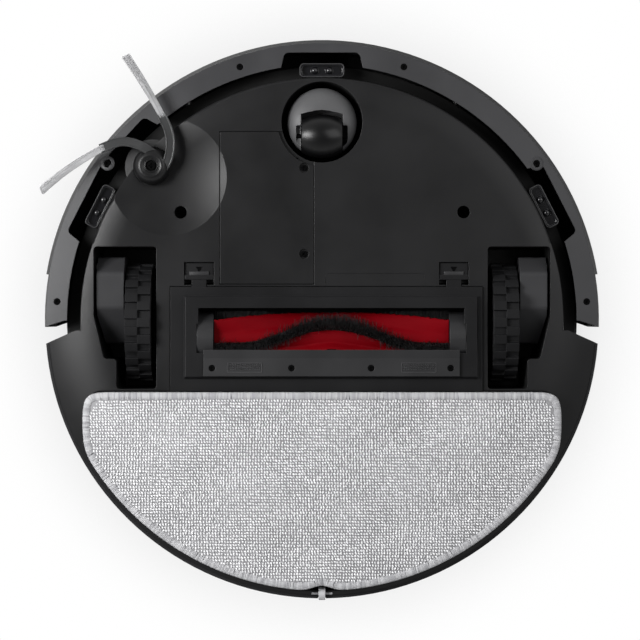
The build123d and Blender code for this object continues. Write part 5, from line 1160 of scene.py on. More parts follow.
    def build(self, shop: Workshop) -> None:
        """Makes all the trim.

        Args:
            shop: Fits the pieces to the frame.
        """
        shop.fit(self.sensor_rims(), Palette.RIM, Body.CHASSIS, Slot.ROTOR)
        shop.fit(self.ring_bosses(), Palette.RING, Body.BUMPER, Slot.RING)
        for name, x, body in (("left", self.latch_x[0], Body.LEFT_LATCH),
                              ("right", self.latch_x[1], Body.RIGHT_LATCH)):
            shop.fit(self.latch_arrow(f"{name}_arrow", x), Palette.SCREW, body, Slot.COVER)
            shop.fit(self.finger_bar(f"{name}_finger_bar", x), Palette.COMB, body, Slot.COVER)
        shop.fit(self.label_frame(), Palette.PAN, Body.CHASSIS, Slot.SHELL)
        shop.fit(self.comb_grips(), Palette.GRIP, Body.BRUSH_COVER, Slot.COMB)


@dataclass
class MainBrush:
    """Main brush: a drum with leaning vanes, and strips of bristles between them."""

    axis_y: float = 11.8 * MM
    axis_z: float = 20.5 * MM
    middle_x: float = 5.9 * MM
    half: float = 72.3 * MM
    core: float = 10.0 * MM
    drum: float = 10.6 * MM
    axle: float = 3.0 * MM
    vane: float = 16.3 * MM
    vane_back: float = 9.0
    vane_front: float = 34.0
    vane_lag: float = 51.0
    vane_twist: float = 53.0
    vane_curve: float = 1.5
    section_step: float = 3.0
    sections: int = 49
    tip: float = 17.4 * MM
    strip_height: float = 1.4 * MM
    strip_sink: float = 1.0 * MM
    strip_taper: float = 0.8
    strip_steps: int = 20
    strips: int = 3
    apex: float = -137.0
    twist: float = 71.0
    settle: float = 0.76
    half_angle: float = 22.0
    end_angle: float = 10.0
    fan: float = 7.0
    strands: int = 1900
    strand: tuple[float, float] = (0.14 * MM, 0.08 * MM)
    root: float = 0.5 * MM
    scatter: float = 0.9
    stray: float = 0.7 * MM
    trim: float = 2.2

    def point(self, x: float, radius: float, angle: float) -> Vector:
        """Point at a distance from the middle, a radius and an angle in degrees.

        Args:
            x: Distance from the roller's middle.
            radius: Distance from its axis.
            angle: Angle round the axis in degrees.

        Returns:
            The point in metres.
        """
        turn = math.radians(angle)
        return Vector((self.middle_x + x, self.axis_y + radius * math.cos(turn),
                       self.axis_z + radius * math.sin(turn)))

    def turn(self, index: int, along: float) -> float:
        """Angle of a strip in degrees, at a share of the way from the middle to an end."""
        share = min(1.0, along / self.settle)
        return self.apex + 360.0 / self.strips * index + self.twist * share**2 * (3.0 - 2.0 * share)

    def reach(self, along: float) -> float:
        """Half the strip's width in degrees, widest in the middle."""
        return self.end_angle + (self.half_angle - self.end_angle) * (1.0 - along)

    def angles(self) -> np.ndarray:
        """Angles in degrees of the points that make up a section."""
        return np.arange(0.0, 360.0, self.section_step)

    def section(self, x: float) -> list[Vector]:
        """Outline of the drum with its vanes, at a distance from the middle.

        Args:
            x: Distance from the roller's middle.

        Returns:
            The outline's points.
        """
        lead = self.apex - self.vane_lag + self.vane_twist * abs(x) / self.half
        gap = 360.0 / self.strips
        points = []
        for angle in self.angles():
            off = (angle - lead + gap / 2) % gap - gap / 2
            if off < 0.0:
                rise = max(0.0, 1.0 + off / self.vane_back)
            else:
                rise = max(0.0, 1.0 - off / self.vane_front)**self.vane_curve
            points.append(self.point(x, self.drum + (self.vane - self.drum) * rise, angle))
        return points

    def roller(self) -> Piece:
        """Drum, vanes and axle in one sweep along the roller.

        Returns:
            The roller.
        """
        low, high = (corner[0] - self.middle_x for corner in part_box("main_brush"))
        ends = [[self.point(x, self.axle, angle) for angle in self.angles()]
                for x in (low, -self.half, self.half, high)]
        body = [self.section(x) for x in np.linspace(-self.half, self.half, self.sections)]
        return Bench.sweep("brush_roller", [*ends[:2], *body, *ends[2:]], smooth=50.0)

    def backing(self, index: int, side: int) -> Piece:
        """Rib that one half strip of bristles stands on.

        Args:
            index: Number of the strip.
            side: Left half, -1, or right half, 1.

        Returns:
            The rib.
        """
        low, high = self.core - self.strip_sink, self.core + self.strip_height
        corners = ((low, -1.0), (low, 1.0), (high, self.strip_taper), (high, -self.strip_taper))
        rings = []
        for along in np.linspace(0.0, 1.0, self.strip_steps):
            angle, reach = self.turn(index, along), self.reach(along)
            x = side * self.half * along
            rings.append([self.point(x, radius, angle + edge * reach) for radius, edge in corners])
        return Bench.sweep("strip", rings)

    def bristles(self, shop: Workshop) -> Piece:
        """Tapered strands that lean a little at random.

        Args:
            shop: Gives the random draws.

        Returns:
            The strands as one piece.
        """
        places, tones = [], []
        for index in range(self.strips):
            for side in (-1, 1):
                for _ in range(self.strands):
                    along = shop.random.random()
                    spread = shop.random.uniform(-self.scatter, self.scatter)
                    angle = self.turn(index, along) + self.reach(along) * spread
                    x = side * self.half * along
                    root = self.point(x, self.core + self.root, angle)
                    lean = shop.random.gauss(0.0, self.fan)
                    end = self.point(x + shop.random.gauss(0.0, self.stray),
                                     self.tip - shop.random.uniform(0.0, self.trim) * MM, angle + lean)
                    places.append(Bench.aimed(root, end))
                    tones.append(shop.random.random())
        return Bench.copies("strands", Bench.strand(*self.strand), places, tones)

    def build(self, shop: Workshop) -> None:
        """Makes the roller, and the strips with their bristles as one piece.

        Args:
            shop: Fits the pieces to the frame.
        """
        shop.fit(self.roller(), Palette.RED, Body.MAIN_BRUSH, Slot.RED, "main_brush")
        parts = [self.backing(index, side) for index in range(self.strips) for side in (-1, 1)]
        brush = Bench.joined("brush_bristles", [self.bristles(shop), *parts])
        shop.fit(brush, Palette.BLACK_BRISTLE, Body.MAIN_BRUSH, Slot.BLACK_BRISTLE, "main_brush_bristles")


@dataclass
class Caster:
    """Dome of the caster, with a barrel-shaped window for its wheel and a pocket for each axle end."""

    centre_y: float = -121.5
    axle_y: float = -113.0
    axle_z: float = 13.5
    radius: float = 21.6
    low: float = 6.6
    shoulder: float = 17.0
    top: float = 27.0
    window_half: float = 12.9
    window: tuple[tuple[float, float], ...] = ((14.2, 12.9), (15.4, 9.0), (16.5, 4.5), (17.0, 0.0))
    pocket: tuple[float, float, float] = (3.4, 13.0, 13.0)
    overlap: float = 0.4
    chamfer: float = 2.0
    cap_step: int = 6
    cutter_bevel: float = 0.9 * MM

    def shell(self) -> Piece:
        """Turned dome, rounded below and straight above.

        Returns:
            The dome.
        """
        turns = [math.radians(angle) for angle in range(0, 91, self.cap_step)]
        cap = [(self.radius * math.sin(turn), self.shoulder - (self.shoulder - self.low) * math.cos(turn))
               for turn in turns]
        profile = [*cap, (self.radius, self.top - self.chamfer), (self.radius - self.chamfer, self.top),
                   (0.0, self.top)]
        return Bench.turned("caster_dome", Vector((0.0, self.centre_y * MM, 0.0)), profile, steps=72)

    def wheel_cutter(self) -> Piece:
        """Barrel a little larger than the wheel, along X.

        Returns:
            The cutter.
        """
        half = [(radius, -height) for radius, height in self.window]
        profile = [(0.0, -self.window_half), *half, *[(radius, -height) for radius, height in half[-2::-1]],
                   (0.0, self.window_half)]
        cutter = Bench.turned("cutter", Vector((0.0, 0.0, 0.0)), profile, steps=48)
        cutter.rotation_euler = (0.0, math.pi / 2, 0.0)
        cutter.location = Vector((0.0, self.axle_y, self.axle_z)) * MM
        return Bench.named("cutter")

    def box_cutter(self, x: float, y: float, size: tuple[float, float, float]) -> Piece:
        """Block with rounded edges that stands on the floor, its place and size in millimetres."""
        centre = Vector((x, y, size[2] / 2)) * MM
        return Bench.block("cutter", centre, Vector(size) * MM, self.cutter_bevel, 3)

    def build(self, shop: Workshop) -> None:
        """Cuts the window and the pockets out of the dome.

        Args:
            shop: Fits the pieces to the frame.
        """
        dome = self.shell()
        depth = 2 * self.radius
        Bench.cut(dome, self.wheel_cutter())
        well = (2 * self.window_half, depth, 2 * self.axle_z)
        Bench.cut(dome, self.box_cutter(0.0, self.axle_y + depth / 2, well))
        for side in (-1, 1):
            x = side * (self.window_half + self.pocket[0] / 2 - self.overlap)
            Bench.cut(dome, self.box_cutter(x, self.axle_y, self.pocket))
        shop.fit(Bench.close(dome, smooth=30.0), Palette.CASTER, Body.CASTER, Slot.CASTER, "caster_fork")


@dataclass
class SideBrush:
    """Side brush: turned hub, two rubber arms with rims, and a tuft of strands on each."""

    centre: tuple[float, float] = (-104.8, -94.3)
    hub: tuple[tuple[float, float], ...] = (
        (0, 13), (10.8, 13), (11.5, 12.4), (11.5, 9.4), (10.9, 7.6), (9.4, 5.4), (8.0, 4.1), (6.8, 3.6),
        (5.6, 3.8), (4.8, 4.5), (4.4, 4.7), (4.05, 4.3), (3.75, 4.25), (3.4, 4.6), (3.2, 6.9), (0, 6.9))
    reaches: tuple[tuple[tuple[float, float], ...], ...] = (
        ((7.4, 1.4), (10.6, -4.6), (11.9, -14.2), (10.3, -22.5), (6.0, -32.0)),
        ((7.2, 1.4), (12.2, -6.4), (14.6, -15.0), (14.0, -22.0), (10.4, -31.2)))
    steps: int = 26
    route_end: float = 1.0001
    sink: float = 2.6
    sink_steps: int = 6
    turn: float = -90.0
    width: float = 5.6
    rim: float = 0.8
    rim_slope: float = 0.15
    heights: tuple[float, float, float] = (3.7, 4.15, 6.4)
    tuft_tip: tuple[float, float, float] = (-15.6, -67.7, 1.6)
    tuft_width: float = 0.36
    tuft_top: float = 0.2
    tuft_root: float = 2.5
    fan: float = 1.1
    fan_stray: float = 0.45
    trim: float = 0.9
    rise: float = 0.25
    rise_stray: float = 0.25
    bow: float = 0.55
    strand: tuple[float, float] = (0.13 * MM, 0.07 * MM)
    strand_cuts: int = 5
    strands: int = 200

    def route(self, arm: int) -> list[Vector]:
        """Smooth line of an arm through its reach points, in millimetres from the hub.

        Args:
            arm: Number of the arm.

        Returns:
            The line's points.
        """
        points = [Vector((x, y, 0.0)) for x, y in self.reaches[arm]]
        padded = [2 * points[0] - points[1], *points, 2 * points[-1] - points[-2]]
        line = []
        for share in np.linspace(0.0, len(points) - self.route_end, self.steps):
            index = int(share)
            a, b, c, d = padded[index:index + 4]
            t = share - index
            line.append(0.5 * (2 * b + (c - a) * t + (2 * a - 5 * b + 4 * c - d) * t**2
                               + (3 * b - a - 3 * c + d) * t**3))
        return line

    def placed(self, point: Vector, arm: int) -> Vector:
        """Point of an arm in the shared frame, in metres."""
        spun = Matrix.Rotation(math.radians(arm * self.turn), 3, "Z") @ point
        return Vector((self.centre[0] + spun.x, self.centre[1] + spun.y, spun.z)) * MM

    def arm(self, index: int) -> Piece:
        """Rubber arm with a raised rim along each side.

        Args:
            index: Number of the arm.

        Returns:
            The arm.
        """
        line = self.route(index)
        low, floor, top = self.heights
        half, rim, slope = self.width / 2, self.rim, self.rim_slope
        section = ((-half, top), (half, top), (half, low), (half - rim, low), (half - rim - slope, floor),
                   (rim + slope - half, floor), (rim - half, low), (-half, low))
        rings = []
        for step, (before, here, after) in enumerate(zip([line[0], *line], line, [*line[1:], line[-1]])):
            across = sideways((after - before).normalized())
            lift = self.sink * max(0.0, 1.0 - step / self.sink_steps)**2
            rings.append([self.placed(here + across * u + Vector((0, 0, z + lift)), index)
                          for u, z in section])
        return Bench.sweep("arm", rings)

    def tufts(self, shop: Workshop) -> Piece:
        """Fine strands that fan out from the end of each arm.

        Args:
            shop: Gives the random draws.

        Returns:
            The strands as one piece.
        """
        tip = Vector(self.tuft_tip)
        places, tones, bends = [], [], []
        _, floor, top = self.heights
        for arm in range(len(self.reaches)):
            line = self.route(arm)
            along = (line[-1] - line[-2]).normalized()
            across = sideways(along)
            for _ in range(self.strands):
                u = shop.random.uniform(-self.tuft_width, self.tuft_width) * self.width
                z = shop.random.uniform(floor, top - self.tuft_top)
                root = line[-1] - along * self.tuft_root + across * u + Vector((0, 0, z))
                spread = self.fan * u + shop.random.gauss(0.0, self.fan_stray)
                end = tip + across * spread - along * abs(shop.random.gauss(0.0, self.trim))
                end.z = tip.z + self.rise * (z - floor) + abs(shop.random.gauss(0.0, self.rise_stray))
                middle = root + along * (end - root).length
                middle.z = end.z
                bow = (end - middle) * self.bow
                places.append(Bench.aimed(self.placed(root, arm), self.placed(end - bow, arm)))
                bends.append(self.placed(bow, arm) - self.placed(Vector((0, 0, 0)), arm))
                tones.append(shop.random.random())
        template = Bench.strand(*self.strand, cuts=self.strand_cuts)
        return Bench.copies("side_tufts", template, places, tones, bends)

    def build(self, shop: Workshop) -> None:
        """Makes the rubber body and the tufts.

        Args:
            shop: Fits the pieces to the frame.
        """
        axis = Vector((self.centre[0] * MM, self.centre[1] * MM, 0.0))
        shop.fit(Bench.turned("side_brush_core", axis, self.hub), Palette.HUB, Body.SIDE_BRUSH, Slot.SHELL)
        arms = Bench.joined("side_brush_arms", [self.arm(index) for index in range(len(self.reaches))])
        shop.fit(arms, Palette.SMOKE, Body.SIDE_BRUSH, Slot.SMOKE, "side_brush_hub")
        tufts = self.tufts(shop)
        shop.fit(tufts, Palette.PALE_BRISTLE, Body.SIDE_BRUSH, Slot.PALE_BRISTLE, "side_brush_tufts")


@dataclass(frozen=True)
class Wave:
    """Slow wave over the mop pad's weave.

    Args:
        height: Its largest value.
        per_x: Radians per step across.
        per_y: Radians per step along.
    """

    height: float
    per_x: float
    per_y: float

    def at(self, x: float, y: float) -> float:
        """Value at a place."""
        return self.height * math.sin(self.per_x * x + self.per_y * y)


@dataclass
class MopPad:
    """Looped mop pad with an overlocked border, shaped like a D with a dip for the rear roller."""

    front: float = 44.8
    half_width: float = 145.2
    radius: float = 166.5
    dip: float = 3.2
    dip_width: float = 7.5
    rounding: float = 7.0
    centre_y: float = 100.0
    border: float = 4.6
    border_overlap: float = 0.4
    bulge: float = 1.6
    bulge_y: float = 0.62
    bulge_width: float = 22.0
    flank_start: float = 0.9
    flank_width: float = 0.1
    samples: int = 6000
    fine_step: float = 0.25
    smooth_reach: int = 80
    body_z: tuple[float, float] = (0.85, 3.9)
    body_step: float = 3.0
    pitch: tuple[float, float] = (1.78, 1.8)
    loop_size: tuple[float, float, float] = (0.62 * MM, 1.0 * MM, 0.8 * MM)
    loop_cut: float = 0.25 * MM
    loop_sink: float = 0.05
    loop_spread: tuple[float, float] = (0.85, 1.12)
    loop_height: tuple[float, float] = (0.85, 1.0)
    loop_lean: tuple[float, float] = (0.5, 0.25)
    loop_tilt: float = 0.15
    loop_tone: tuple[float, float] = (0.6, 0.2)
    edge_step: float = 0.5
    row_shift: float = 0.3
    row_weave: float = 0.35
    stray: float = 0.2
    row_wave: Wave = Wave(0.7, 0.05, 0.4)
    cloth_wave: Wave = Wave(0.5, 0.03, 0.11)
    side_wave: Wave = Wave(0.4, 0.021, 0.06)
    lean_wave: Wave = Wave(0.3, 0.09, 0.07)
    stitch_pitch: float = 0.95
    stitch_turn: float = 0.05
    stitch_reach: tuple[float, float] = (0.92, 1.06)
    stitch_width: tuple[float, float] = (1.15, 1.4)
    thread: tuple[float, float] = (0.42, 0.3)
    thread_flat: float = 0.62

    def outline(self, step: float, inset: float = 0.0) -> np.ndarray:
        """Evenly spaced points of the rounded outline.

        Args:
            step: Distance between points in millimetres.
            inset: How far the outline is drawn in.

        Returns:
            Points in millimetres, one row each.
        """
        turns = np.linspace(0.0, 2 * math.pi, self.samples, endpoint=False)
        x, y = np.cos(turns), np.sin(turns)
        with np.errstate(divide="ignore"):
            side = np.where(x == 0, np.inf, (self.half_width - inset) / np.abs(x))
            front = np.where(y < 0, (self.front + inset - self.centre_y) / y, np.inf)
        along = self.centre_y * y
        rear = -along + np.sqrt(along**2 + (self.radius - inset)**2 - self.centre_y**2)
        reach = np.minimum(np.minimum(side, front), rear)
        points = np.stack([reach * x, self.centre_y + reach * y], axis=1)
        swell = self.bulge * np.exp(-((points[:, 1] - self.bulge_y * self.centre_y) / self.bulge_width)**2)
        flank = np.abs(points[:, 0]) / self.half_width - self.flank_start
        flank = np.clip(flank, 0.0, self.flank_width) / self.flank_width
        points[:, 0] += np.sign(x) * swell * flank
        points = self.spaced(points, self.fine_step)
        offsets = np.arange(-self.smooth_reach, self.smooth_reach + 1)
        weights = np.exp(-0.5 * (offsets * self.fine_step / self.rounding)**2)
        smooth = sum(weight * np.roll(points, offset, axis=0) for offset, weight in zip(offsets, weights))
        smooth /= weights.sum()
        smooth[:, 1] -= np.where(smooth[:, 1] > self.centre_y,
                                 self.dip * np.exp(-(smooth[:, 0] / self.dip_width)**2), 0.0)
        return self.spaced(smooth, step)

    @staticmethod
    def spaced(points: np.ndarray, step: float) -> np.ndarray:
        """Points at even steps along a closed line.

        Args:
            points: The line's points.
            step: Distance between the new points.

        Returns:
            The new points.
        """
        ring = np.vstack([points, points[:1]])
        lengths = np.concatenate([[0.0], np.cumsum(np.linalg.norm(np.diff(ring, axis=0), axis=1))])
        count = max(8, round(lengths[-1] / step))
        marks = np.linspace(0.0, lengths[-1], count, endpoint=False)
        return np.stack([np.interp(marks, lengths, ring[:, axis]) for axis in (0, 1)], axis=1)

    def body(self) -> Piece:
        """Cushioned slab of the pad with rounded edges.

        Returns:
            The slab.
        """
        low, high = self.body_z
        levels = ((1.6, high), (0.7, high - 0.3), (0.3, (low + high) / 2), (0.5, low + 0.35), (1.4, low))
        points = self.outline(self.body_step)
        inward = self.inward(points)
        rings = [[Vector((x, y, height)) * MM for x, y in points + inward * inset]
                 for inset, height in levels]
        return Bench.sweep("pad_body", rings, smooth=60.0)

    @staticmethod
    def inward(points: np.ndarray) -> np.ndarray:
        """Unit normals of a closed line, towards its inside.

        Args:
            points: The line's points.

        Returns:
            One normal for each point.
        """
        along = np.roll(points, -1, axis=0) - np.roll(points, 1, axis=0)
        along /= np.linalg.norm(along, axis=1)[:, None]
        return np.stack([-along[:, 1], along[:, 0]], axis=1)

    def loop(self) -> Piece:
        """Models one loop of the cloth, a low dome pointing down.

        Returns:
            The loop.
        """
        Bench.clear()
        bpy.ops.mesh.primitive_ico_sphere_add(subdivisions=1, radius=1.0)
        bpy.context.object.scale = self.loop_size
        loop = Bench.named("loop")
        Bench.edit(loop)
        bpy.ops.mesh.bisect(plane_co=(0, 0, self.loop_cut), plane_no=(0, 0, 1), clear_outer=True)
        bpy.ops.object.mode_set(mode="OBJECT")
        return loop

    def loops(self, shop: Workshop) -> Piece:
        """Rows of slanted loops inside the border.

        Args:
            shop: Gives the random draws.

        Returns:
            The loops as one piece.
        """
        edge = self.outline(self.edge_step, self.border - self.border_overlap)
        centre = np.array((0.0, self.centre_y))
        bearings = np.arctan2(*(edge - centre).T[::-1])
        order = np.argsort(bearings)
        bearings, reaches = bearings[order], np.linalg.norm(edge - centre, axis=1)[order]
        places, tones = [], []
        for row, y in enumerate(np.arange(self.front, self.radius, self.pitch[1])):
            for x in np.arange(-self.half_width, self.half_width, self.pitch[0]):
                wave = self.row_wave.at(x, row) + self.cloth_wave.at(x, y)
                px = x + self.row_shift * (row % 2) + self.side_wave.at(x, y)
                px += shop.random.uniform(-self.stray, self.stray)
                py = y + self.row_weave * wave + shop.random.uniform(-self.stray, self.stray)
                offset = np.array((px, py)) - centre
                limit = np.interp(math.atan2(offset[1], offset[0]), bearings, reaches)
                if np.linalg.norm(offset) > limit:
                    continue
                lean = self.lean_wave.at(x, y) - shop.random.gauss(*self.loop_lean)
                size = shop.random.uniform(*self.loop_spread)
                tilt = shop.random.gauss(0, self.loop_tilt)
                height = shop.random.uniform(*self.loop_height)
                places.append(Matrix.Translation(Vector((px, py, self.body_z[0] - self.loop_sink)) * MM)
                              @ Matrix.Rotation(lean, 4, "Z") @ Matrix.Rotation(tilt, 4, "X")
                              @ Matrix.Diagonal((size, size, height, 1.0)))
                tones.append(min(1.0, max(0.0, shop.random.gauss(*self.loop_tone))))
        return Bench.copies("pad_loops", self.loop(), places, tones, smooth=80.0)

    def stitch(self) -> Piece:
        """Models one overlock stitch that wraps the edge, running inwards along +Y.

        Returns:
            The stitch.
        """
        path = ((self.border, 0.95), (self.border - 0.5, 0.5), (2.4, 0.36), (0.6, 0.5), (0.0, 1.2),
                (-0.1, 2.4), (0.5, 3.55), (2.2, 3.95))
        turns = np.linspace(0.0, 2 * math.pi, 6, endpoint=False)
        rings = []
        for y, z in path:
            radius = self.thread[0] if 0.0 < y < self.border else self.thread[1]
            flat = self.thread_flat * radius
            rings.append([Vector((radius * math.cos(turn), y, z + flat * math.sin(turn))) * MM
                          for turn in turns])
        return Bench.sweep("stitch", rings, smooth=80.0)

    def stitches(self, shop: Workshop) -> Piece:
        """Stitches side by side round the whole border.

        Args:
            shop: Gives the random draws.

        Returns:
            The stitches as one piece.
        """
        points = self.outline(self.stitch_pitch)
        places, tones = [], []
        for (x, y), (nx, ny) in zip(points, self.inward(points)):
            turn = math.atan2(-nx, ny) + shop.random.gauss(0.0, self.stitch_turn)
            reach = shop.random.uniform(*self.stitch_reach)
            width = shop.random.uniform(*self.stitch_width)
            places.append(Matrix.Translation((x * MM, y * MM, 0.0)) @ Matrix.Rotation(turn, 4, "Z")
                          @ Matrix.Diagonal((width, reach, 1.0, 1.0)))
            tones.append(shop.random.random())
        return Bench.copies("pad_stitches", self.stitch(), places, tones, smooth=80.0)

    def build(self, shop: Workshop) -> None:
        """Makes the padded body, its loops and its border.

        Args:
            shop: Fits the pieces to the frame.
        """
        # The slab shows between the loops, darker as painted shade in the gaps.
        body = shop.fit(self.body(), Palette.CLOTH, Body.MOP, Slot.MOP, "mop_pad")
        shop.fit(self.loops(shop), Palette.LOOP, Body.MOP, Slot.MOP)
        shop.fit(self.stitches(shop), Palette.STITCH, Body.MOP, Slot.MOP)


@dataclass
class TopTrim:
    """Trim of the top and rear: turret ring, button symbols and exhaust ribs on the drawer."""

    turret: tuple[float, float] = (0.0, 38.0)
    turret_radius: float = 46.0
    ring_reach: tuple[float, float] = (0.1, 2.6)
    ring_rise: float = 0.7
    ring_bevel: tuple[float, float] = (0.5, 0.25)
    ring_lip: tuple[float, float] = (0.4, 0.4)
    deck_z: float = 81.0
    button_spots: tuple[tuple[float, float], ...] = ((-13.0, -118.0), (13.0, -118.0))
    button_z: float = 81.7
    symbol: float = 3.4
    symbol_line: tuple[tuple[float, float], ...] = ((-0.35, 0.0), (0.35, 0.0), (0.25, 0.14), (-0.25, 0.14))
    power_arc: tuple[float, float] = (40.0, 320.0)
    power_steps: int = 30
    power_bar: tuple[float, float] = (0.6, 4.2)
    house: tuple[tuple[float, float], ...] = (
        (0.75, -0.9), (0.75, 0.2), (0.0, 1.05), (-0.75, 0.2), (-0.75, -0.9))
    rear_radius: float = 170.5
    rear_y: float = 1.5
    rib_z: tuple[float, float] = (30.0, 56.0)
    rib_size: tuple[float, float] = (1.3, 1.0)
    rib_bevel: float = 0.3 * MM
    rib_angles: tuple[float, float] = (14.0, 30.0)
    ribs: int = 13

    def turret_ring(self) -> Piece:
        """Bevelled trim ring where the turret meets the deck.

        Returns:
            The ring.
        """
        inner, outer = (self.turret_radius + reach for reach in self.ring_reach)
        low, high = self.deck_z, self.deck_z + self.ring_rise
        profile = ((inner, low), (outer, low), (outer, low + self.ring_bevel[1]),
                   (outer - self.ring_bevel[0], high), (inner + self.ring_lip[0], high),
                   (inner, low + self.ring_lip[1]), (inner, low))
        axis = Vector((self.turret[0] * MM, self.turret[1] * MM, 0.0))
        return Bench.turned("turret_ring", axis, profile, steps=72)

    def power_symbol(self, x: float, y: float) -> Piece:
        """Open ring with an upright bar.

        Args:
            x: Across, in millimetres.
            y: Along, in millimetres.

        Returns:
            The symbol.
        """
        rings = []
        for turn in np.linspace(*(math.radians(angle) for angle in self.power_arc), self.power_steps):
            out = Vector((math.sin(turn), -math.cos(turn), 0.0))
            rings.append(self.bead(Vector((x, y, self.button_z)) + out * self.symbol, out))
        bar = [self.bead(Vector((x, y - reach, self.button_z)), Vector((1.0, 0.0, 0.0)))
               for reach in np.linspace(*self.power_bar, 4)]
        return Bench.joined("power_symbol", [Bench.sweep("arc", rings), Bench.sweep("bar", bar)])

    def home_symbol(self, x: float, y: float) -> Piece:
        """Outline of a house.

        Args:
            x: Across, in millimetres.
            y: Along, in millimetres.

        Returns:
            The symbol.
        """
        size = self.symbol
        corners = [Vector((x + size * u, y - size * v, self.button_z)) for u, v in self.house]
        lines = []
        for start, end in zip(corners, [*corners[1:], corners[0]]):
            across = sideways((end - start).normalized())
            beads = [self.bead(start.lerp(end, share), across) for share in (0.0, 0.5, 1.0)]
            lines.append(Bench.sweep("line", beads))
        return Bench.joined("home_symbol", lines)

    def bead(self, point: Vector, out: Vector) -> list[Vector]:
        """Small raised section of a symbol's line, in metres."""
        return [(point + out * u + Vector((0.0, 0.0, z))) * MM for u, z in self.symbol_line]

    def exhaust_ribs(self) -> Piece:
        """Upright ribs in two groups on the drawer's rear panel.

        Returns:
            The ribs as one piece.
        """
        low, high = self.rib_z
        size = [side * MM for side in (*self.rib_size, high - low)]
        rib = Bench.block("rib", (0, 0, (low + high) / 2 * MM), size, self.rib_bevel, 2)
        places = []
        for side in (-1, 1):
            for angle in np.linspace(*self.rib_angles, self.ribs):
                turn = math.radians(side * angle)
                x, y = math.sin(turn) * self.rear_radius, self.rear_y + math.cos(turn) * self.rear_radius
                places.append(Matrix.Translation(Vector((x, y, 0)) * MM) @ Matrix.Rotation(-turn, 4, "Z"))
        return Bench.copies("exhaust_ribs", rib, places)

    def build(self, shop: Workshop) -> None:
        """Makes the top and rear trim.

        Args:
            shop: Fits the pieces to the frame.
        """
        shop.fit(self.turret_ring(), Palette.BUTTON, Body.CHASSIS, Slot.TURRET)
        shop.fit(self.power_symbol(*self.button_spots[0]), Palette.MARK, Body.POWER_BUTTON, Slot.BUTTON)
        shop.fit(self.home_symbol(*self.button_spots[1]), Palette.MARK, Body.HOME_BUTTON, Slot.BUTTON)
        shop.fit(self.exhaust_ribs(), Palette.TURRET, Body.DUST_TANK, Slot.SKIRT)


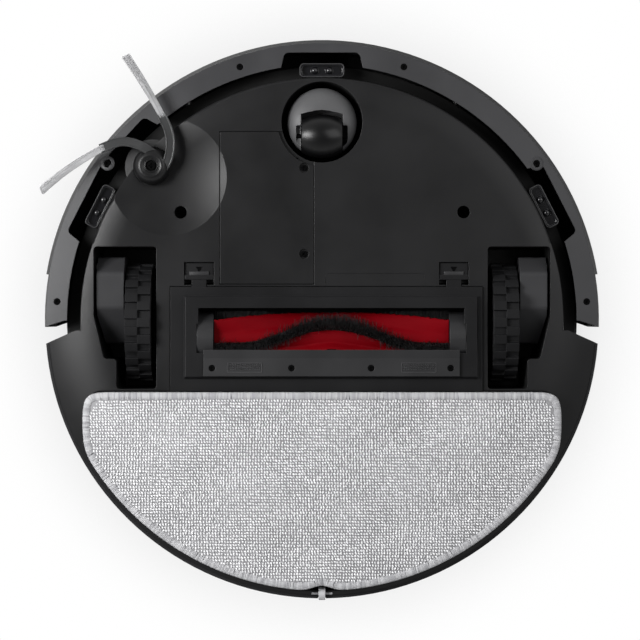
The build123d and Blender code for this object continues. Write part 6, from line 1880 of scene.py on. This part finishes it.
@dataclass
class Stage:
    """Camera below the object, lamps, world, and the two plain grounds."""

    camera_spot: tuple[float, float, float] = (-0.0012, 0.00046, -1.4)
    lens: float = 128.72
    backdrop_z: float = 0.104
    ground: float = 8.0
    ambient: float = 0.3
    below: float = 0.12
    horizon: tuple[float, float] = (-0.95, -0.1)
    shadow_reach: float = 0.09
    shadow: tuple[float, float, float, float] = (0.55, 1.0, 0.1, 0.85)
    lamps: tuple[tuple[str, tuple[float, float, float], float, float], ...] = (
        ("under_key", (-0.78, -0.2, -0.74), 0.45, 17.0),
        ("under_fill", (0.7, -0.35, -1.0), 0.9, 6.0),
        ("top_key", (-0.9, -0.8, 1.3), 1.6, 20.0),
        ("top_fill", (1.0, 0.7, 1.1), 1.2, 14.0),
    )

    def camera(self) -> None:
        """Looks straight up at the underside, with the front at the top of the picture."""
        data = bpy.data.cameras.new("camera")
        data.lens = self.lens
        camera = bpy.data.objects.new("camera", data)
        camera.location = self.camera_spot
        camera.rotation_euler = (math.pi, 0.0, 0.0)
        bpy.context.collection.objects.link(camera)
        bpy.context.scene.camera = camera

    def lights(self) -> None:
        """Soft area lamps, each aimed at the object."""
        for name, spot, size, power in self.lamps:
            data = bpy.data.lights.new(name, "AREA")
            data.size = size
            data.energy = power
            lamp = bpy.data.objects.new(name, data)
            lamp.location = spot
            lamp.rotation_euler = (-Vector(spot)).to_track_quat("-Z", "Y").to_euler()
            bpy.context.collection.objects.link(lamp)

    def world(self) -> None:
        """White for the camera and in mirrors, dimmer there straight down, and even for the rest."""
        world = bpy.data.worlds.new("world")
        world.use_nodes = True
        bpy.context.scene.world = world
        wiring = Wiring(world.node_tree)
        path = wiring.add("ShaderNodeLightPath").outputs
        aim = wiring.add("ShaderNodeTexCoord").outputs["Generated"]
        height = wiring.add("ShaderNodeSeparateXYZ", {0: aim}).outputs["Z"]
        mirrored = wiring.maths("MAXIMUM", path["Is Glossy Ray"], path["Is Transmission Ray"])
        room = wiring.spread(height, self.below, 1.0, *self.horizon)
        lit = wiring.maths("ADD", wiring.maths("MULTIPLY", mirrored, room),
                           wiring.maths("MULTIPLY", wiring.maths("SUBTRACT", 1.0, mirrored), self.ambient))
        strength = wiring.maths("MAXIMUM", path["Is Camera Ray"], lit)
        sky = wiring.add("ShaderNodeBackground", {"Color": (1, 1, 1, 1), "Strength": strength})
        wiring.add("ShaderNodeOutputWorld", {"Surface": sky.outputs[0]})

    def ground_plane(self, name: str, height: float, facing_down: bool) -> Piece:
        """A wide pale plane that shows from one side and keeps a soft shadow.

        Args:
            name: The plane's name.
            height: Where it lies.
            facing_down: Whether it shows from below.

        Returns:
            The plane.
        """
        Bench.clear()
        turn = math.pi if facing_down else 0.0
        bpy.ops.mesh.primitive_plane_add(size=self.ground, location=(0, 0, height), rotation=(turn, 0, 0))
        plane = Bench.named(name)
        for effect in ("diffuse", "glossy", "transmission", "shadow"):
            setattr(plane, f"visible_{effect}", False)
        material, wiring = Wiring.material(name)
        near = wiring.add("ShaderNodeAmbientOcclusion", {"Distance": self.shadow_reach}, samples=12)
        shade = wiring.spread(near.outputs["AO"], *self.shadow)
        pale = wiring.add("ShaderNodeEmission", {"Color": (1, 1, 1, 1), "Strength": shade})
        hidden = wiring.add("ShaderNodeBsdfTransparent")
        back = wiring.add("ShaderNodeNewGeometry").outputs["Backfacing"]
        both = wiring.add("ShaderNodeMixShader", {0: back, 1: pale.outputs[0], 2: hidden.outputs[0]})
        wiring.surface(both)
        plane.data.materials.append(material)
        return plane

    def build(self) -> None:
        """Sets the stage."""
        self.camera()
        self.lights()
        self.world()
        self.ground_plane("floor", 0.0, False)
        self.ground_plane("backdrop", self.backdrop_z, True)
        bpy.context.scene.view_settings.view_transform = "Standard"


def main() -> None:
    """Builds the pieces in order, logs the faces of each, and sets the stage."""
    logging.basicConfig(level=logging.INFO, format="%(message)s")
    shop = Workshop()
    shop.dress_frame()
    for part in (Screws(), UndersideTrim(), MainBrush(), Caster(), SideBrush(), MopPad(), TopTrim()):
        part.build(shop)
    Stage().build()


if __name__ == "__main__":
    main()
